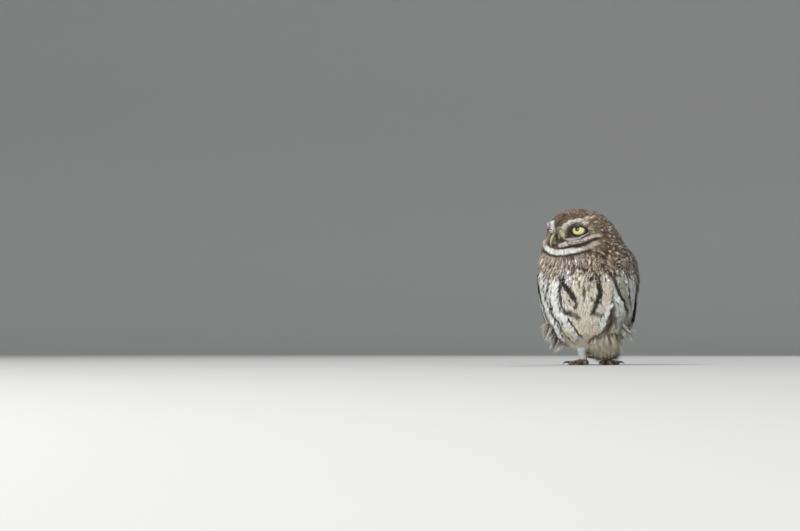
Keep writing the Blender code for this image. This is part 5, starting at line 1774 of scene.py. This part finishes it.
class OWL_OT_bill(Operator):
    """Makes the upper bill with its ridge, hook, cere and nostrils, and the lower bill"""

    bl_idname = "owl.bill"
    bl_label = "Bill"

    def execute(self, context):
        for name, rows, keel in (("upper", UPPER_BILL, 1.0), ("lower", LOWER_BILL, 0.0)):
            profile = Through([(k, *row) for k, row in enumerate(rows)])

            def place(share, profile=profile, rows=rows):
                ahead, level, half_width, half_height = profile(share * (len(rows) - 1))
                return head_point(0, level, ahead), half_width * MM, half_height * MM

            shape = bmesh.new()
            verts = tube(shape, 32, 30, place, HEAD_LEFT)
            if keel:
                for vert in verts:
                    local = head_places(np.array([vert.co]))[0]
                    left, ahead = local[0], local[2]
                    # the ridge narrows to a blunt keel, and the cere swells round the nostrils
                    swell = math.exp(-((ahead - 33) / 2.6) ** 2)
                    above = vert.co.z / MM - 136
                    vert.co += HEAD_LEFT * math.copysign(0.35 * swell * min(abs(left), 1), left) * MM
                    if above > 0:
                        vert.co += UP * 0.25 * swell * MM
            piece = finish_piece(f"bill_{name}_horn", shape, ("bill_" + name,))
            local = head_places(vertices_of(piece.data))
            # The sides of the bill, which face sideways, take a darker grey-green than its ridge: painted shade
            flat = np.abs(normals_of(piece.data) @ np.array(HEAD_LEFT))
            ridge = smooth(0.75, 0.25, flat)
            tip = smooth(-14, -18, local[:, 1])
            colours = tone("bill_side_shade")[None] * (1 - ridge[:, None]) + tone("bill")[None] * ridge[:, None]
            colours = colours * (1 - 0.35 * tip[:, None])
            colour_layer(piece.data, "tint", colours)
            piece.data.materials.append(tinted_material("Bill horn", 0.38, 1500.0))
        shape = bmesh.new()
        for side in SIDES.values():
            made = bmesh.ops.create_uvsphere(shape, u_segments=12, v_segments=8, radius=0.75 * MM)
            bmesh.ops.scale(shape, verts=made["verts"], vec=(1, 1, 0.8))
            bmesh.ops.translate(shape, verts=made["verts"], vec=head_point(side * 3.1, 138.2, 36.8))
        piece = finish_piece("nostrils", shape)
        piece.data.materials.append(bare_material("Nostril", "claws", 0.6, 2000.0))
        return {"FINISHED"}


def tinted_material(name, rough, grain):
    found = bpy.data.materials.get(name)
    if found:
        return found
    made, nodes, links, shader = new_material(name)
    read = node(nodes, "ShaderNodeAttribute", attribute_name="tint")
    where = nodes.new("ShaderNodeTexCoord")
    fine = node(nodes, "ShaderNodeTexNoise", in_Scale=grain, in_Detail=4.0)
    links.new(where.outputs["Object"], fine.inputs["Vector"])
    shade = node(nodes, "ShaderNodeMapRange", in_3=0.75, in_4=1.2)
    links.new(fine.outputs[0], shade.inputs[0])
    colour_ = mixed(nodes, links, 1.0, read.outputs["Color"], shade.outputs[0], "MULTIPLY")
    links.new(colour_, shader.inputs["Base Color"])
    bump = node(nodes, "ShaderNodeBump", in_Strength=0.2, in_Distance=0.0002)
    links.new(fine.outputs[0], bump.inputs["Height"])
    links.new(bump.outputs[0], shader.inputs["Normal"])
    shader.inputs["Roughness"].default_value = rough
    return made


def toe_line(side, toe):
    heading, length = TOES[side][toe]
    turn = math.radians(heading)
    start = Vector((*ANKLE[side], 0)) * MM + SHIFT
    return start, facing(turn), leftward(turn), length


class OWL_OT_feet(Operator):
    """Makes the pads and the scaly toes"""

    bl_idname = "owl.feet"
    bl_label = "Feet"

    def execute(self, context):
        for side in SIDES:
            shape = bmesh.new()
            pad = bmesh.ops.create_uvsphere(shape, u_segments=28, v_segments=16, radius=6.2 * MM)
            bmesh.ops.scale(shape, verts=pad["verts"], vec=(1, 1, 0.6))
            bmesh.ops.translate(shape, verts=pad["verts"], vec=Vector((*ANKLE[side], 3.0)) * MM + SHIFT)
            for toe in TOE_NAMES:
                start, ahead, across, length = toe_line(side, toe)
                profile = Through(TOE_SHAPE)

                def rows(share, start=start, ahead=ahead, length=length, profile=profile):
                    wide = float(profile(share)[0])
                    reach = TOE_START + share * length
                    rise = 2.2 + 1.2 * (1 - share) ** 2
                    scutes = 1 + 0.05 * math.sin(share * length * 2.6)
                    radius = (2.9 - 0.7 * share) * wide * scutes
                    return start + (ahead * reach + UP * rise) * MM, radius * MM, radius * MM

                tube(shape, 16, 30, rows, across)
            for vert in shape.verts:
                if vert.co.z < 0.05 * MM:
                    vert.co.z = 0.0
            piece = finish_piece("toes_" + side, shape, ("foot_" + side,))
            piece.data.materials.append(scaly_material())
        return {"FINISHED"}


def scaly_material():
    found = bpy.data.materials.get("Scaly skin")
    if found:
        return found
    made, nodes, links, shader = new_material("Scaly skin")
    where = nodes.new("ShaderNodeTexCoord")
    scales = node(nodes, "ShaderNodeTexVoronoi", feature="DISTANCE_TO_EDGE", in_Scale=900.0)
    links.new(where.outputs["Object"], scales.inputs["Vector"])
    edge = node(nodes, "ShaderNodeMapRange", in_1=0.0, in_2=0.12)
    links.new(scales.outputs["Distance"], edge.inputs[0])
    base = tone("toes")
    colour_ = mixed(nodes, links, edge.outputs[0], base * 0.45, base * 1.2)
    links.new(colour_, shader.inputs["Base Color"])
    bump = node(nodes, "ShaderNodeBump", in_Strength=0.5, in_Distance=0.0003)
    links.new(edge.outputs[0], bump.inputs["Height"])
    links.new(bump.outputs[0], shader.inputs["Normal"])
    shader.inputs["Roughness"].default_value = 0.6
    return made


class OWL_OT_claws(Operator):
    """Makes the eight claws"""

    bl_idname = "owl.claws"
    bl_label = "Claws"

    def execute(self, context):
        for side in SIDES:
            for toe in TOE_NAMES:
                start, ahead, across, length = toe_line(side, toe)
                profile = Through([(k, *row) for k, row in enumerate(CLAW)])

                def rows(share, start=start, ahead=ahead, length=length, profile=profile):
                    beyond, level, radius = profile(share * (len(CLAW) - 1))
                    place = start + (ahead * (TOE_START + length + beyond) + UP * level) * MM
                    return place, radius * 0.85 * MM, radius * MM

                shape = bmesh.new()
                tube(shape, 14, 20, rows, across)
                name = f"claw_{side}_{toe}"
                piece = finish_piece(name + "_horn", shape, (name,))
                piece.data.materials.append(bare_material("Claw horn", "claws", 0.25, 1200.0))
        return {"FINISHED"}


class OWL_OT_stage(Operator):
    """Sets the pale floor, the soft lights and the camera"""

    bl_idname = "owl.stage"
    bl_label = "Stage"

    def execute(self, context):
        own = context.scene.owl_stage
        # The photo's frame: its middle, the pixel where the lens meets the owl's upright, and the horizon
        pixel = 0.000733
        frame_middle = (400, 265.5)
        owl_across, horizon = 589, 351
        lens = bpy.data.cameras.new("camera")
        lens.sensor_width = 36
        lens.lens = 36 / pixel / 800
        camera = bpy.data.objects.new("camera", lens)
        context.scene.collection.objects.link(camera)
        camera.location = (
            own.distance * math.sin(own.round), -own.distance * math.cos(own.round), own.height
        )
        yaw = own.round + math.atan((owl_across - frame_middle[0]) * pixel)
        pitch = math.atan((horizon - frame_middle[1]) * pixel)
        camera.rotation_euler = (math.pi / 2 + pitch, 0, yaw)
        context.scene.camera = camera
        context.scene.view_settings.view_transform = "Standard"
        shape = bmesh.new()
        wide, bend, high = 6.0, 1.2, 5.0

        def sweep(across, along):
            """A level floor that turns up softly far behind the owl, all round."""
            reach = along * (wide + high)
            turn = 2 * math.pi * across
            if reach < wide - bend:
                out, level = reach, 0.0
            elif reach < wide + bend:
                angle = (reach - wide + bend) / (2 * bend) * math.pi / 2
                out = wide - bend + bend * math.sin(angle)
                level = bend * (1 - math.cos(angle))
            else:
                out, level = wide, bend + reach - wide - bend
            return Vector((out * math.cos(turn), out * math.sin(turn), level))

        wrapped(shape, 96, 60, sweep)
        bmesh.ops.remove_doubles(shape, verts=shape.verts, dist=1e-5)
        bmesh.ops.recalc_face_normals(shape, faces=shape.faces)
        bmesh.ops.reverse_faces(shape, faces=shape.faces)
        mesh = bpy.data.meshes.new("floor")
        shape.to_mesh(mesh)
        shape.free()
        mesh.shade_smooth()
        floor = bpy.data.objects.new("floor", mesh)
        context.scene.collection.objects.link(floor)
        made, nodes, links, shader = new_material("Floor")
        shader.inputs["Base Color"].default_value = (*own.floor, 1)
        shader.inputs["Roughness"].default_value = 0.85
        mesh.materials.append(made)
        world = bpy.data.worlds.new("world")
        world.use_nodes = True
        world.node_tree.nodes["Background"].inputs["Color"].default_value = (0.93, 0.96, 1.0, 1)
        world.node_tree.nodes["Background"].inputs["Strength"].default_value = 0.42
        context.scene.world = world
        # Rows: name, place, size, power, colour
        lamps = (
            ("key", (-1.2, -1.3, 2.2), 0.7, 38.0, (1.0, 0.98, 0.95)),
            ("fill", (1.9, -1.6, 1.0), 1.8, 8.5, (0.93, 0.96, 1.0)),
            ("low", (-0.5, -1.7, 0.14), 0.7, 19.0, (1.0, 0.99, 0.97)),
            ("back", (0.6, 2.0, 1.8), 1.2, 16.0, (1.0, 1.0, 1.0)),
        )
        aim = Vector((0, 0, 0.09))
        for name, place, wide, power, shade in lamps:
            lamp = bpy.data.lights.new(name, "AREA")
            lamp.shape = "DISK"
            lamp.size = wide
            lamp.energy = power
            lamp.color = shade
            holder = bpy.data.objects.new(name, lamp)
            holder.location = place
            holder.rotation_euler = (aim - Vector(place)).to_track_quat("-Z", "Y").to_euler()
            context.scene.collection.objects.link(holder)
        return {"FINISHED"}


class OWL_PT_panel(Panel):
    """Lists the owl's sizes, colours and pieces"""

    bl_idname = "OWL_PT_panel"
    bl_label = "Little owl"
    bl_space_type = "VIEW_3D"
    bl_region_type = "UI"
    bl_category = "Little owl"

    def draw(self, context):
        for group in (context.scene.owl_sizes, context.scene.owl_colours, context.scene.owl_stage):
            box = self.layout.box()
            for name in group.__annotations__:
                box.prop(group, name)
        for step in STEPS:
            self.layout.operator(step.bl_idname)


GROUPS = {"owl_sizes": OwlSizes, "owl_colours": OwlColours, "owl_stage": OwlStage}
STEPS = (
    OWL_OT_stage,
    OWL_OT_skin,
    OWL_OT_eyes,
    OWL_OT_lids,
    OWL_OT_bill,
    OWL_OT_feet,
    OWL_OT_claws,
    OWL_OT_head_feathers,
    OWL_OT_body_feathers,
    OWL_OT_chain_feathers,
    OWL_OT_face_tufts,
    OWL_OT_flank_wisps,
    OWL_OT_leg_feathers,
    OWL_OT_leg_fluff,
    OWL_OT_wing_feathers,
    OWL_OT_tail_feathers,
)


def register():
    for name, group in GROUPS.items():
        bpy.utils.register_class(group)
        setattr(bpy.types.Scene, name, PointerProperty(type=group))
    for kind in (*STEPS, OWL_PT_panel):
        bpy.utils.register_class(kind)


def unregister():
    for kind in (OWL_PT_panel, *reversed(STEPS)):
        bpy.utils.unregister_class(kind)
    for name, group in GROUPS.items():
        delattr(bpy.types.Scene, name)
        bpy.utils.unregister_class(group)


def main():
    register()
    bpy.ops.owl.stage()
    bpy.ops.owl.skin()
    bpy.ops.owl.eyes()
    bpy.ops.owl.lids()
    bpy.ops.owl.bill()
    bpy.ops.owl.feet()
    bpy.ops.owl.claws()
    bpy.ops.owl.head_feathers()
    bpy.ops.owl.body_feathers()
    bpy.ops.owl.chain_feathers()
    bpy.ops.owl.face_tufts()
    bpy.ops.owl.flank_wisps()
    bpy.ops.owl.leg_feathers()
    bpy.ops.owl.leg_fluff()
    bpy.ops.owl.wing_feathers()
    bpy.ops.owl.tail_feathers()


if __name__ == "__main__":
    main()
